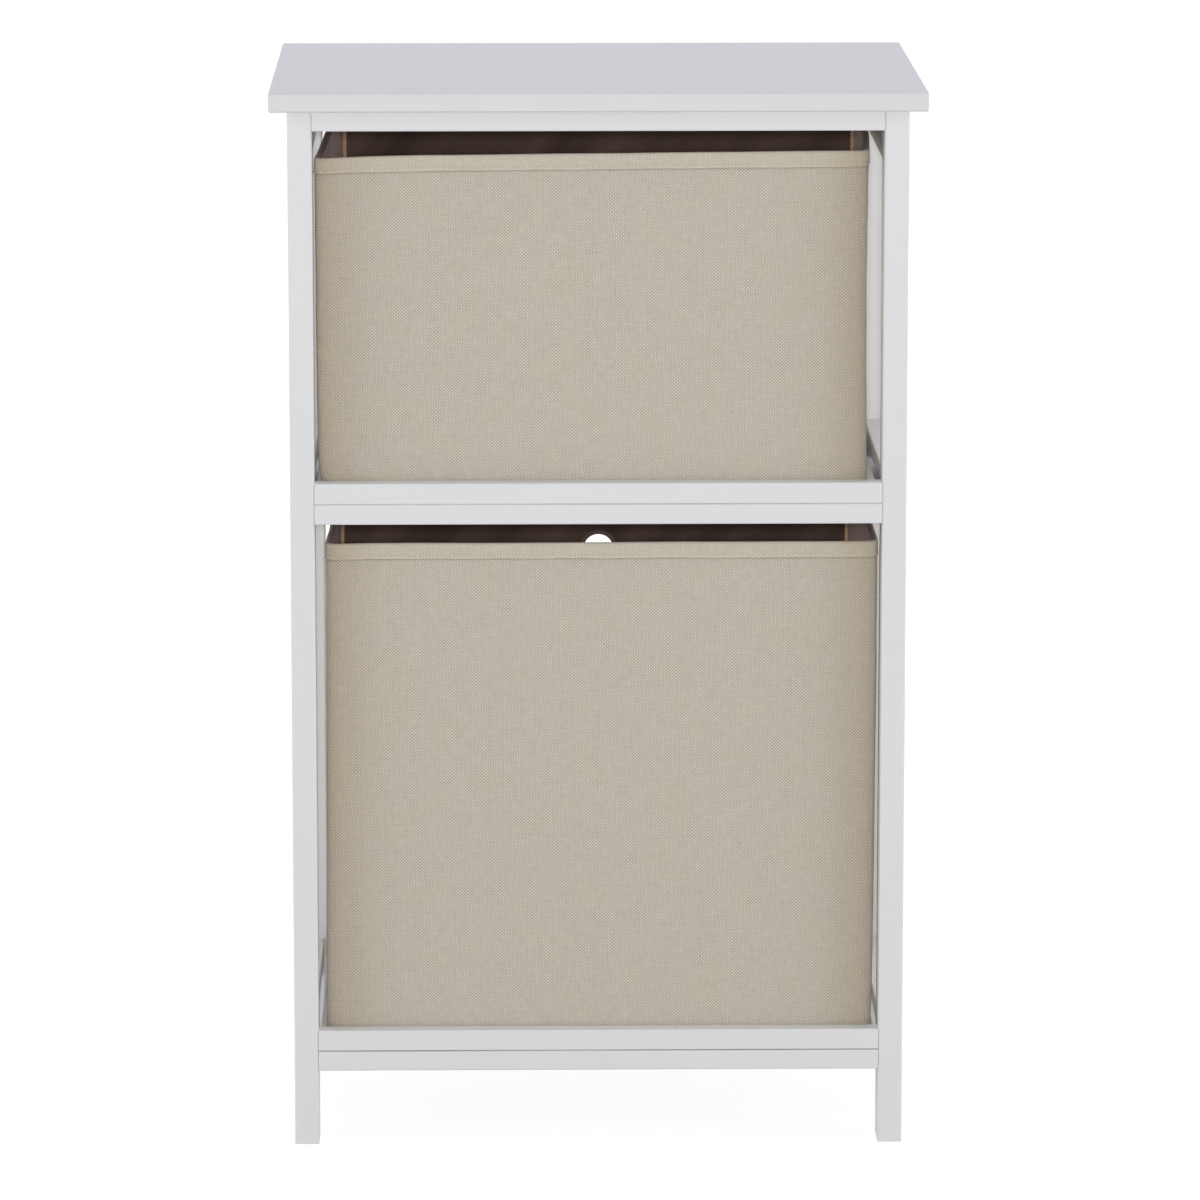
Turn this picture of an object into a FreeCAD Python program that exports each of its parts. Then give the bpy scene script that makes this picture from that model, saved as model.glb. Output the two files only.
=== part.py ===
import FreeCAD, Part
import os

import Sketcher
from FreeCAD import Placement, Rotation, Vector

# Two-drawer storage unit: a white wooden frame with an overhanging top panel
# and two sewn fabric drawers that stand on thin shelves.
# The origin is on the floor under the middle of the top panel. +Z is up and +Y is
# the front, where the finger holes are and where the drawers slide out.
# Left is -X and right is +X, as they are seen from the rear.

SIZES = [
    # top panel and overall height
    ("overall_height", 658),
    ("top_width", 400),
    ("top_depth", 300),
    ("top_thickness", 12),
    ("top_edge_chamfer", 0.9),
    ("top_side_overhang", 11),
    ("top_end_overhang", 10),
    # legs and rails
    ("leg_width", 15),
    ("leg_depth", 28),
    ("leg_edge_radius", 1.2),
    ("rail_edge_chamfer", 0.6),
    ("shelf_edge_chamfer", 0.3),
    ("side_rail_thickness", 12.5),
    ("side_rail_height", 38),
    ("cross_rail_height", 12.5),
    ("bottom_rail_level", 47),
    ("middle_rail_level", 391.5),
    # stop strips and shelves
    ("stop_strip_depth", 12),
    ("stop_strip_height", 13),
    ("shelf_thickness", 3),
    ("shelf_side_clearance", 0.5),
    ("shelf_front_inset", 2),
    # glued dowels between legs and side rails
    ("dowel_radius", 3),
    ("dowel_depth_in_leg", 10),
    ("dowel_depth_in_rail", 15),
    ("dowel_spacing", 20),
    # screws through the legs into the cross rails, and their press-in caps
    ("frame_screw_radius", 2.25),
    ("frame_screw_length", 42),
    ("frame_screw_head_radius", 4),
    ("frame_screw_head_height", 3),
    ("cap_radius", 6),
    ("cap_height", 1.2),
    # countersunk wood screws under the top panel and under the stop strips
    ("wood_screw_radius", 1.75),
    ("wood_screw_head_radius", 3.5),
    ("wood_screw_head_height", 2),
    ("wood_screw_grip", 9),
    ("wood_screw_place_share", 0.32),
    # tacks that hold the shelves down on the cross rails
    ("tack_radius", 0.8),
    ("tack_head_radius", 2),
    ("tack_head_height", 0.8),
    ("tack_grip", 9),
    ("tack_place_share", 0.3),
    # drawers: their outer size is what the frame leaves, less these clearances
    ("drawer_side_clearance", 5.5),
    ("drawer_stop_clearance", 1.5),
    ("drawer_front_inset", 2.5),
    ("drawer_running_gap", 0.3),
    ("upper_drawer_top_clearance", 15.2),
    ("upper_drawer_shift", 0.2),
    ("lower_drawer_top_clearance", 13.7),
    ("lower_drawer_shift", 1.2),
    ("drawer_corner_radius", 7),
    ("cover_thickness", 0.8),
    ("board_thickness", 1.5),
    ("lining_thickness", 0.5),
    ("binding_thickness", 0.4),
    ("binding_height", 9.5),
    ("finger_hole_radius", 10),
    ("finger_hole_drop", 52),
    ("finger_hole_shift", 2.4),
    ("edging_thickness", 0.6),
    ("edging_flange", 2.5),
    # how far a cutting tool runs past the face it opens
    ("cut_overrun", 5),
]

doc = FreeCAD.newDocument("drawer_storage_unit")
sizes = doc.addObject("Spreadsheet::Sheet", "sizes")
for row, (alias, value) in enumerate(SIZES, start=1):
    sizes.set(f"A{row}", alias.replace("_", " "))
    sizes.set(f"B{row}", str(value))
    sizes.setAlias(f"B{row}", alias)
doc.recompute()

ALONG_X = Vector(1, 0, 0)
ALONG_Y = Vector(0, 1, 0)
ALONG_Z = Vector(0, 0, 1)
SECTION_NORMALS = {"XY_Plane": ALONG_Z, "XZ_Plane": ALONG_Y, "YZ_Plane": ALONG_X}

# Small round pieces and the holes that they fill are prisms with this many sides
PEG_SIDES = 8
CAP_SIDES = 24
EDGING_SIDES = 32

# The places that several pieces share, as expressions of the sheet
LEG_HEIGHT = "(sizes.overall_height - sizes.top_thickness)"
FRAME_X = "(sizes.top_width / 2 - sizes.top_side_overhang)"
FRAME_Y = "(sizes.top_depth / 2 - sizes.top_end_overhang)"
LEG_X = f"({FRAME_X} - sizes.leg_width / 2)"
LEG_Y = f"({FRAME_Y} - sizes.leg_depth / 2)"
SIDE_RAIL_X = f"({FRAME_X} - sizes.side_rail_thickness / 2)"
INNER_X = f"({FRAME_X} - sizes.leg_width)"
INNER_Y = f"({FRAME_Y} - sizes.leg_depth)"
STOP_FACE_Y = f"(sizes.stop_strip_depth - {FRAME_Y})"
WOOD_SCREW_X = f"(2 * {INNER_X} * sizes.wood_screw_place_share)"
TACK_X = f"(2 * {INNER_X} * sizes.tack_place_share)"
STRIP_TOP_RISE = "(sizes.cross_rail_height + sizes.stop_strip_height)"
WALL = "(sizes.cover_thickness + sizes.board_thickness + sizes.lining_thickness)"
DRAWER_WIDTH = f"(2 * {INNER_X} - 2 * sizes.drawer_side_clearance)"
DRAWER_REAR_Y = f"({STOP_FACE_Y} + sizes.drawer_stop_clearance)"
DRAWER_FRONT_Y = f"({FRAME_Y} - sizes.drawer_front_inset)"
DRAWER_DEPTH = f"({DRAWER_FRONT_Y} - {DRAWER_REAR_Y})"
DRAWER_Y = f"(({DRAWER_REAR_Y} + {DRAWER_FRONT_Y}) / 2)"

# The underside of the cross rails and the upper edge of the side rails at each level
CROSS_RAIL_LEVELS = {
    "bottom": "sizes.bottom_rail_level",
    "middle": "sizes.middle_rail_level",
    "top": f"({LEG_HEIGHT} - sizes.cross_rail_height)",
}
SIDE_RAIL_TOPS = {
    "bottom": f"(sizes.bottom_rail_level + {STRIP_TOP_RISE})",
    "middle": f"(sizes.middle_rail_level + {STRIP_TOP_RISE})",
    "top": LEG_HEIGHT,
}
SHELF_LEVELS = ("bottom", "middle")
SIDES = {"left": -1, "right": 1}
ENDS = {"rear": -1, "front": 1}

nodes = []


def bind(feature, texts):
    """Ties each named property of a feature to an expression of the sheet."""
    for name, text in texts.items():
        feature.setExpression(name, text)


def place(feature, x="0", y="0", z="0"):
    bind(feature, {"Placement.Base.x": x, "Placement.Base.y": y, "Placement.Base.z": z})


def aim(feature, direction):
    """Turns a primitive's own axis from +Z to the given direction."""
    feature.Placement = Placement(Vector(), Rotation(ALONG_Z, direction))


def shifted(texts, direction, distance):
    """Moves a point, given as three expressions, along a direction."""
    parts = zip(texts, (direction.x, direction.y, direction.z))
    return [f"{text} + ({factor:g}) * ({distance})" if factor else text for text, factor in parts]


def new_body(label):
    body = doc.addObject("PartDesign::Body", label)
    body.Label = label
    nodes.append(body)
    return body


def new_sketch(body, plane, name):
    """A sketch on one of the body's own origin planes."""
    support = next(item for item in body.Origin.OriginFeatures if item.Role == plane)
    sketch = body.newObject("Sketcher::SketchObject", name)
    sketch.AttachmentSupport = [(support, "")]
    sketch.MapMode = "FlatFace"
    return sketch


def name_measures(sketch, name, measures):
    """Adds constraints that hold a length each, named and tied to the sheet."""
    for measure, constraint, text in measures:
        index = sketch.addConstraint(constraint)
        sketch.renameConstraint(index, f"{name}_{measure}")
        sketch.setExpression(f"Constraints.{name}_{measure}", text)


def draw_rectangle(sketch, name, width, height):
    """A rectangle centred on the sketch's origin."""
    across = float(sketch.evalExpression(f"{width} / 2"))
    up = float(sketch.evalExpression(f"{height} / 2"))
    corners = [Vector(across, up), Vector(-across, up), Vector(-across, -up), Vector(across, -up)]
    lines = []
    for turn, corner in enumerate(corners):
        side = Part.LineSegment(corner, corners[(turn + 1) % len(corners)])
        lines.append(sketch.addGeometry(side, False))
    for turn, line in enumerate(lines):
        following = lines[(turn + 1) % len(lines)]
        sketch.addConstraint(Sketcher.Constraint("Coincident", line, 2, following, 1))
        level = "Vertical" if turn % 2 else "Horizontal"
        sketch.addConstraint(Sketcher.Constraint(level, line))
    sketch.addConstraint(Sketcher.Constraint("Symmetric", lines[0], 1, lines[2], 1, -1, 1))
    name_measures(sketch, name, [
        ("width", Sketcher.Constraint("DistanceX", lines[0], 2, lines[0], 1, 2 * across), width),
        ("height", Sketcher.Constraint("DistanceY", lines[1], 2, lines[1], 1, 2 * up), height),
    ])


def draw_outline(sketch, name, width, height, radius):
    """A rectangle with rounded corners, centred on the sketch's origin."""
    across = float(sketch.evalExpression(f"{width} / 2 - {radius}"))
    up = float(sketch.evalExpression(f"{height} / 2 - {radius}"))
    bend = float(sketch.evalExpression(radius))
    quarter = FreeCAD.Units.parseQuantity("90 deg").getValueAs("rad").Value
    corners = [(across, up), (-across, up), (-across, -up), (across, -up)]
    arcs = []
    for turn, (x, y) in enumerate(corners):
        circle = Part.Circle(Vector(x, y, 0), ALONG_Z, bend)
        arc = Part.ArcOfCircle(circle, turn * quarter, (turn + 1) * quarter)
        arcs.append(sketch.addGeometry(arc, False))
    lines = []
    for turn, arc in enumerate(arcs):
        start = sketch.Geometry[arc].EndPoint
        end = sketch.Geometry[arcs[(turn + 1) % len(arcs)]].StartPoint
        lines.append(sketch.addGeometry(Part.LineSegment(start, end), False))
    for turn, line in enumerate(lines):
        following = arcs[(turn + 1) % len(arcs)]
        sketch.addConstraint(Sketcher.Constraint("Tangent", arcs[turn], 2, line, 1))
        sketch.addConstraint(Sketcher.Constraint("Tangent", line, 2, following, 1))
        level = "Vertical" if turn % 2 else "Horizontal"
        sketch.addConstraint(Sketcher.Constraint(level, line))
    for arc in arcs[1:]:
        sketch.addConstraint(Sketcher.Constraint("Equal", arcs[0], arc))
    sketch.addConstraint(Sketcher.Constraint("Symmetric", arcs[0], 3, arcs[2], 3, -1, 1))
    name_measures(sketch, name, [
        ("width", Sketcher.Constraint("DistanceX", arcs[1], 3, arcs[0], 3, 2 * across),
         f"{width} - 2 * {radius}"),
        ("height", Sketcher.Constraint("DistanceY", arcs[3], 3, arcs[0], 3, 2 * up),
         f"{height} - 2 * {radius}"),
        ("radius", Sketcher.Constraint("Radius", arcs[0], bend), radius),
    ])


def pad(body, sketch, length, centred=False):
    feature = body.newObject("PartDesign::Pad", f"{sketch.Name}_pad")
    feature.Profile = sketch
    feature.SideType = "Symmetric" if centred else "One side"
    bind(feature, {"Length": length})
    sketch.Visibility = False
    return feature


def ease(body, blank, easing, size, directions):
    """Rounds or chamfers the edges of a padded blank that run along the given directions."""
    doc.recompute([blank])
    edges = [
        f"Edge{number}"
        for number, edge in enumerate(blank.Shape.Edges, start=1)
        if any(round(abs(edge.tangentAt(edge.FirstParameter).dot(axis))) for axis in directions)
    ]
    eased = body.newObject(f"PartDesign::{easing}", f"{body.Label}_eased_edges")
    eased.Base = (blank, edges)
    bind(eased, {"Radius" if easing == "Fillet" else "Size": size})


def moulding(label, plane, width, height, length, easing, size, centred=True):
    """A strip of wood or a panel, padded from its section, with its long edges eased.

    easing is the feature that eases them, Fillet or Chamfer, and size its radius or width.
    """
    body = new_body(label)
    sketch = new_sketch(body, plane, f"{label}_section")
    draw_rectangle(sketch, "section", width, height)
    blank = pad(body, sketch, length, centred)
    ease(body, blank, easing, size, [SECTION_NORMALS[plane]])
    return body


def drill(body, name, radius, depth, direction, mouth):
    """A hole for a peg from its mouth, a point on the face, along a direction."""
    hole = body.newObject("PartDesign::SubtractivePrism", name)
    hole.Polygon = PEG_SIDES
    aim(hole, direction)
    bind(hole, {"Circumradius": radius, "Height": f"{depth} + sizes.cut_overrun"})
    place(hole, *shifted(mouth, direction, "-sizes.cut_overrun"))


def peg(name, radius, length, direction, start, sides=PEG_SIDES):
    """A small round piece, such as a dowel or a shank, from its start along a direction."""
    prism = doc.addObject("Part::Prism", name)
    prism.Polygon = sides
    aim(prism, direction)
    bind(prism, {"Circumradius": radius, "Height": length})
    place(prism, *start)
    return prism


def screw(name, kind, length, direction, start):
    """A screw or tack whose flat head face lies at start."""
    head_height = f"sizes.{kind}_head_height"
    head = peg(f"{name}_head", f"sizes.{kind}_head_radius", head_height, direction, start)
    shank = peg(f"{name}_shank", f"sizes.{kind}_radius", f"{length} - {head_height}",
                direction, shifted(start, direction, head_height))
    joined = doc.addObject("Part::MultiFuse", name)
    joined.Shapes = [head, shank]
    return joined


def screw_hole(body, name, kind, depth, direction, mouth):
    """The shank's hole and the counterbore that the head sits in, flush with the face."""
    drill(body, name, f"sizes.{kind}_radius", depth, direction, mouth)
    drill(body, f"{name}_seat", f"sizes.{kind}_head_radius", f"sizes.{kind}_head_height",
          direction, mouth)


def cylinder(name, radius, length, direction, start):
    """A cutter for a hole that shows."""
    tool = doc.addObject("Part::Cylinder", name)
    aim(tool, direction)
    bind(tool, {"Radius": radius, "Height": length})
    place(tool, *start)
    return tool


def group(label, pieces):
    """Like fasteners as one node of separate solids."""
    compound = doc.addObject("Part::Compound", label)
    compound.Label = label
    compound.Links = pieces
    nodes.append(compound)


# Top panel: a painted board with eased edges that overhangs the frame all round
top_panel = new_body("top_panel")
panel_outline = new_sketch(top_panel, "XY_Plane", "top_panel_outline")
draw_rectangle(panel_outline, "outline", "sizes.top_width", "sizes.top_depth")
panel_blank = pad(top_panel, panel_outline, "sizes.top_thickness")
ease(top_panel, panel_blank, "Chamfer", "sizes.top_edge_chamfer", [ALONG_X, ALONG_Y, ALONG_Z])
place(top_panel, z=LEG_HEIGHT)
for side, sx in SIDES.items():
    for end, sy in ENDS.items():
        drill(top_panel, f"top_panel_{end}_{side}_hole", "sizes.wood_screw_radius",
              "sizes.wood_screw_grip", ALONG_Z, [f"{sx} * {WOOD_SCREW_X}", f"{sy} * {LEG_Y}", "0"])

# Legs: four posts, each bored for the side rails' dowels and the cross rails' screws
for end, sy in ENDS.items():
    for side, sx in SIDES.items():
        label = f"{end}_{side}_leg"
        leg = moulding(label, "XY_Plane", "sizes.leg_width", "sizes.leg_depth", LEG_HEIGHT,
                       "Fillet", "sizes.leg_edge_radius", centred=False)
        place(leg, f"{sx} * {LEG_X}", f"{sy} * {LEG_Y}", "0")
        inner_face = f"-{sy} * sizes.leg_depth / 2"
        outer_face = f"{sx} * sizes.leg_width / 2"
        for level, rail_top in SIDE_RAIL_TOPS.items():
            for row, step in (("low", -1), ("high", 1)):
                height = f"{rail_top} - sizes.side_rail_height / 2 + {step} * sizes.dowel_spacing / 2"
                drill(leg, f"{label}_{level}_{row}_dowel_hole", "sizes.dowel_radius",
                      "sizes.dowel_depth_in_leg", sy * ALONG_Y,
                      [f"{sx} * ({SIDE_RAIL_X} - {LEG_X})", inner_face, height])
        for level, underside in CROSS_RAIL_LEVELS.items():
            mouth = [outer_face, "0", f"{underside} + sizes.cross_rail_height / 2"]
            screw_hole(leg, f"{label}_{level}_screw_hole", "frame_screw",
                       "sizes.leg_width + sizes.cut_overrun", -sx * ALONG_X, mouth)

# Side rails: they join a rear and a front leg into a ladder frame, flush outside
for side, sx in SIDES.items():
    for level, rail_top in SIDE_RAIL_TOPS.items():
        label = f"{side}_{level}_side_rail"
        rail = moulding(label, "XZ_Plane", "sizes.side_rail_thickness", "sizes.side_rail_height",
                        f"2 * {INNER_Y}", "Chamfer", "sizes.rail_edge_chamfer")
        place(rail, f"{sx} * {SIDE_RAIL_X}", "0", f"{rail_top} - sizes.side_rail_height / 2")
        for end, sy in ENDS.items():
            for row, step in (("low", -1), ("high", 1)):
                drill(rail, f"{label}_{end}_{row}_dowel_hole", "sizes.dowel_radius",
                      "sizes.dowel_depth_in_rail", -sy * ALONG_Y,
                      ["0", f"{sy} * {INNER_Y}", f"{step} * sizes.dowel_spacing / 2"])

# Cross rails: they join the two ladder frames, and the lower four carry the shelves
for end, sy in ENDS.items():
    for level, underside in CROSS_RAIL_LEVELS.items():
        label = f"{end}_{level}_rail"
        rail = moulding(label, "YZ_Plane", "sizes.leg_depth", "sizes.cross_rail_height",
                        f"2 * {INNER_X}", "Chamfer", "sizes.rail_edge_chamfer")
        place(rail, "0", f"{sy} * {LEG_Y}", f"{underside} + sizes.cross_rail_height / 2")
        for side, sx in SIDES.items():
            drill(rail, f"{label}_{side}_end_hole", "sizes.frame_screw_radius",
                  "sizes.frame_screw_length - sizes.leg_width", -sx * ALONG_X,
                  [f"{sx} * {INNER_X}", "0", "0"])
        # the screws that come up through a rail hold the top panel or a stop strip
        screw_line = "0" if level == "top" else "(sizes.stop_strip_depth - sizes.leg_depth) / 2"
        if level == "top" or end == "rear":
            for side, sx in SIDES.items():
                mouth = [f"{sx} * {WOOD_SCREW_X}", screw_line, "-sizes.cross_rail_height / 2"]
                screw_hole(rail, f"{label}_{side}_screw_hole", "wood_screw",
                           "sizes.cross_rail_height + sizes.cut_overrun", ALONG_Z, mouth)
        if level in SHELF_LEVELS:
            ledge_middle = "sizes.stop_strip_depth / 2" if end == "rear" else "0"
            for side, sx in SIDES.items():
                drill(rail, f"{label}_{side}_tack_hole", "sizes.tack_radius",
                      "sizes.tack_grip", -ALONG_Z,
                      [f"{sx} * {TACK_X}", ledge_middle, "sizes.cross_rail_height / 2"])

# Stop strips: they stand on the rear rails, above the shelf, and stop the drawers
for level in SHELF_LEVELS:
    label = f"{level}_stop_strip"
    strip = moulding(label, "YZ_Plane", "sizes.stop_strip_depth", "sizes.stop_strip_height",
                     f"2 * {INNER_X}", "Chamfer", "sizes.rail_edge_chamfer")
    place(strip, "0", f"{STOP_FACE_Y} - sizes.stop_strip_depth / 2",
          f"{CROSS_RAIL_LEVELS[level]} + sizes.cross_rail_height + sizes.stop_strip_height / 2")
    for side, sx in SIDES.items():
        drill(strip, f"{label}_{side}_screw_hole", "sizes.wood_screw_radius",
              "sizes.wood_screw_grip", ALONG_Z,
              [f"{sx} * {WOOD_SCREW_X}", "0", "-sizes.stop_strip_height / 2"])

# Shelves: thin boards tacked to the rails, from the stop strip to the front rail
SHELF_FRONT_Y = f"({FRAME_Y} - sizes.shelf_front_inset)"
SHELF_Y = f"(({STOP_FACE_Y} + {SHELF_FRONT_Y}) / 2)"
REAR_TACK_Y = f"({STOP_FACE_Y} + (sizes.leg_depth - sizes.stop_strip_depth) / 2)"
TACK_LINES = {"rear": REAR_TACK_Y, "front": LEG_Y}
for level in SHELF_LEVELS:
    label = f"{level}_shelf"
    shelf = moulding(label, "YZ_Plane", f"({SHELF_FRONT_Y} - {STOP_FACE_Y})",
                     "sizes.shelf_thickness", f"2 * ({INNER_X} - sizes.shelf_side_clearance)",
                     "Chamfer", "sizes.shelf_edge_chamfer")
    place(shelf, "0", SHELF_Y,
          f"{CROSS_RAIL_LEVELS[level]} + sizes.cross_rail_height + sizes.shelf_thickness / 2")
    for end, line in TACK_LINES.items():
        for side, sx in SIDES.items():
            screw_hole(shelf, f"{label}_{end}_{side}_tack_hole", "tack",
                       "sizes.shelf_thickness + sizes.cut_overrun", -ALONG_Z,
                       [f"{sx} * {TACK_X}", f"{line} - {SHELF_Y}", "sizes.shelf_thickness / 2"])

# Fasteners: dowels, frame screws with their caps, wood screws and tacks
dowels = []
frame_screws = []
caps = []
top_screws = []
strip_screws = []
tacks = []
for end, sy in ENDS.items():
    for side, sx in SIDES.items():
        for level, rail_top in SIDE_RAIL_TOPS.items():
            for row, step in (("low", -1), ("high", 1)):
                height = f"{rail_top} - sizes.side_rail_height / 2 + {step} * sizes.dowel_spacing / 2"
                start = [f"{sx} * {SIDE_RAIL_X}", f"{sy} * ({INNER_Y} + sizes.dowel_depth_in_leg)", height]
                dowels.append(peg(f"{end}_{side}_{level}_{row}_dowel", "sizes.dowel_radius",
                                  "sizes.dowel_depth_in_leg + sizes.dowel_depth_in_rail",
                                  -sy * ALONG_Y, start))
        for level, underside in CROSS_RAIL_LEVELS.items():
            start = [f"{sx} * {FRAME_X}", f"{sy} * {LEG_Y}", f"{underside} + sizes.cross_rail_height / 2"]
            frame_screws.append(screw(f"{end}_{side}_{level}_frame_screw", "frame_screw",
                                      "sizes.frame_screw_length", -sx * ALONG_X, start))
            caps.append(peg(f"{end}_{side}_{level}_cap", "sizes.cap_radius", "sizes.cap_height",
                            sx * ALONG_X, start, CAP_SIDES))
        top_screws.append(screw(
            f"{end}_{side}_top_screw", "wood_screw",
            "sizes.cross_rail_height + sizes.wood_screw_grip", ALONG_Z,
            [f"{sx} * {WOOD_SCREW_X}", f"{sy} * {LEG_Y}", CROSS_RAIL_LEVELS["top"]]))
for level in SHELF_LEVELS:
    for side, sx in SIDES.items():
        strip_screws.append(screw(
            f"{level}_{side}_strip_screw", "wood_screw",
            "sizes.cross_rail_height + sizes.wood_screw_grip", ALONG_Z,
            [f"{sx} * {WOOD_SCREW_X}", f"{STOP_FACE_Y} - sizes.stop_strip_depth / 2",
             CROSS_RAIL_LEVELS[level]]))
    for end, line in TACK_LINES.items():
        for side, sx in SIDES.items():
            tacks.append(screw(
                f"{level}_{end}_{side}_tack", "tack",
                "sizes.shelf_thickness + sizes.tack_grip", -ALONG_Z,
                [f"{sx} * {TACK_X}", line,
                 f"{CROSS_RAIL_LEVELS[level]} + sizes.cross_rail_height + sizes.shelf_thickness"]))
group("side_rail_dowels", dowels)
group("frame_screws", frame_screws)
group("screw_caps", caps)
group("top_panel_screws", top_screws)
group("stop_strip_screws", strip_screws)
group("shelf_tacks", tacks)


def box(label, width, depth, height, x, y, z):
    """A plain board, centred on x and y, that stands at z."""
    board = doc.addObject("Part::Box", label)
    bind(board, {"Length": width, "Width": depth, "Height": height})
    place(board, f"{x} - {width} / 2", f"{y} - {depth} / 2", z)
    return board


def tray(label, width, depth, radius, thickness, height):
    """An open-topped sewn shell: a base and one wall that runs round rounded corners."""
    body = new_body(label)
    base = new_sketch(body, "XY_Plane", f"{label}_base")
    draw_outline(base, "outer", width, depth, radius)
    pad(body, base, thickness)
    wall = new_sketch(body, "XY_Plane", f"{label}_wall")
    draw_outline(wall, "outer", width, depth, radius)
    draw_outline(wall, "inner", f"({width} - 2 * {thickness})", f"({depth} - 2 * {thickness})",
                 f"({radius} - {thickness})")
    pad(body, wall, height)
    return body


def pierce(body, name, face_y, height):
    """The finger hole through one layer of the front wall."""
    hole = body.newObject("PartDesign::SubtractiveCylinder", name)
    aim(hole, -ALONG_Y)
    bind(hole, {"Radius": "sizes.finger_hole_radius", "Height": f"{WALL} + sizes.cut_overrun"})
    place(hole, "sizes.finger_hole_shift", face_y, height)


def cut(name, base, tool):
    result = doc.addObject("Part::Cut", name)
    result.Base = base
    result.Tool = tool
    return result


def finish_piece(piece, label):
    piece.Label = label
    nodes.append(piece)


def drawer(name, floor, height, shift):
    """A fabric drawer: boards sewn between a cloth cover and a lining, with a bound rim."""
    rim = f"({height} - sizes.binding_thickness)"
    half_depth = f"{DRAWER_DEPTH} / 2"
    hole_height = f"({height} - sizes.finger_hole_drop)"
    hole_x = f"({shift} + sizes.finger_hole_shift)"
    hole_z = f"({floor} + {hole_height})"
    skin = "(sizes.cover_thickness + sizes.board_thickness)"

    cover = tray(f"{name}_cover", DRAWER_WIDTH, DRAWER_DEPTH, "sizes.drawer_corner_radius",
                 "sizes.cover_thickness", rim)
    pierce(cover, f"{name}_cover_finger_hole", half_depth, hole_height)
    place(cover, shift, DRAWER_Y, floor)

    lining = tray(f"{name}_lining", f"({DRAWER_WIDTH} - 2 * {skin})",
                  f"({DRAWER_DEPTH} - 2 * {skin})", f"(sizes.drawer_corner_radius - {skin})",
                  "sizes.lining_thickness", f"({rim} - {skin})")
    pierce(lining, f"{name}_lining_finger_hole", half_depth, f"{hole_height} - {skin}")
    place(lining, shift, DRAWER_Y, f"{floor} + {skin}")

    base_board = new_body(f"{name}_base_board")
    base_outline = new_sketch(base_board, "XY_Plane", f"{name}_base_outline")
    draw_outline(base_outline, "outline", f"({DRAWER_WIDTH} - 2 * sizes.cover_thickness)",
                 f"({DRAWER_DEPTH} - 2 * sizes.cover_thickness)",
                 "(sizes.drawer_corner_radius - sizes.cover_thickness)")
    pad(base_board, base_outline, "sizes.board_thickness")
    place(base_board, shift, DRAWER_Y, f"{floor} + sizes.cover_thickness")

    # the wall boards end where the cloth starts to turn round a corner
    board_z = f"{floor} + {skin}"
    board_height = f"({rim} - {skin})"
    flat_width = f"({DRAWER_WIDTH} - 2 * sizes.drawer_corner_radius)"
    flat_depth = f"({DRAWER_DEPTH} - 2 * sizes.drawer_corner_radius)"
    board_inset = "(sizes.cover_thickness + sizes.board_thickness / 2)"
    for side, sx in SIDES.items():
        board = box(f"{name}_{side}_board", "sizes.board_thickness", flat_depth, board_height,
                    f"{shift} + {sx} * ({DRAWER_WIDTH} / 2 - {board_inset})", DRAWER_Y, board_z)
        finish_piece(board, f"{name}_{side}_board")
    rear = box(f"{name}_rear_board", flat_width, "sizes.board_thickness", board_height,
               shift, f"{DRAWER_REAR_Y} + {board_inset}", board_z)
    finish_piece(rear, f"{name}_rear_board")
    blank = box(f"{name}_front_blank", flat_width, "sizes.board_thickness", board_height,
                shift, f"{DRAWER_FRONT_Y} - {board_inset}", board_z)
    cutter = cylinder(f"{name}_front_hole", "sizes.finger_hole_radius",
                      f"{WALL} + sizes.cut_overrun", -ALONG_Y,
                      [hole_x, DRAWER_FRONT_Y, hole_z])
    finish_piece(cut(f"{name}_front_board", blank, cutter), f"{name}_front_board")

    # the rim binding is a strip of cloth folded over the top of the wall
    binding = new_body(f"{name}_rim_binding")
    band = new_sketch(binding, "XY_Plane", f"{name}_band")
    draw_outline(band, "outer", f"({DRAWER_WIDTH} + 2 * sizes.binding_thickness)",
                 f"({DRAWER_DEPTH} + 2 * sizes.binding_thickness)",
                 "(sizes.drawer_corner_radius + sizes.binding_thickness)")
    inset = f"({WALL} + sizes.binding_thickness)"
    draw_outline(band, "inner", f"({DRAWER_WIDTH} - 2 * {inset})",
                 f"({DRAWER_DEPTH} - 2 * {inset})", f"(sizes.drawer_corner_radius - {inset})")
    pad(binding, band, "sizes.binding_height")
    groove_section = new_sketch(binding, "XY_Plane", f"{name}_groove_section")
    draw_outline(groove_section, "outer", DRAWER_WIDTH, DRAWER_DEPTH,
                 "sizes.drawer_corner_radius")
    draw_outline(groove_section, "inner", f"({DRAWER_WIDTH} - 2 * {WALL})",
                 f"({DRAWER_DEPTH} - 2 * {WALL})", f"(sizes.drawer_corner_radius - {WALL})")
    groove = binding.newObject("PartDesign::Pocket", f"{name}_groove")
    groove.Profile = groove_section
    groove.Reversed = True
    bind(groove, {"Length": "sizes.binding_height - sizes.binding_thickness"})
    groove_section.Visibility = False
    place(binding, shift, DRAWER_Y, f"{floor} + {height} - sizes.binding_height")
    grooves.append((binding, groove))

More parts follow.
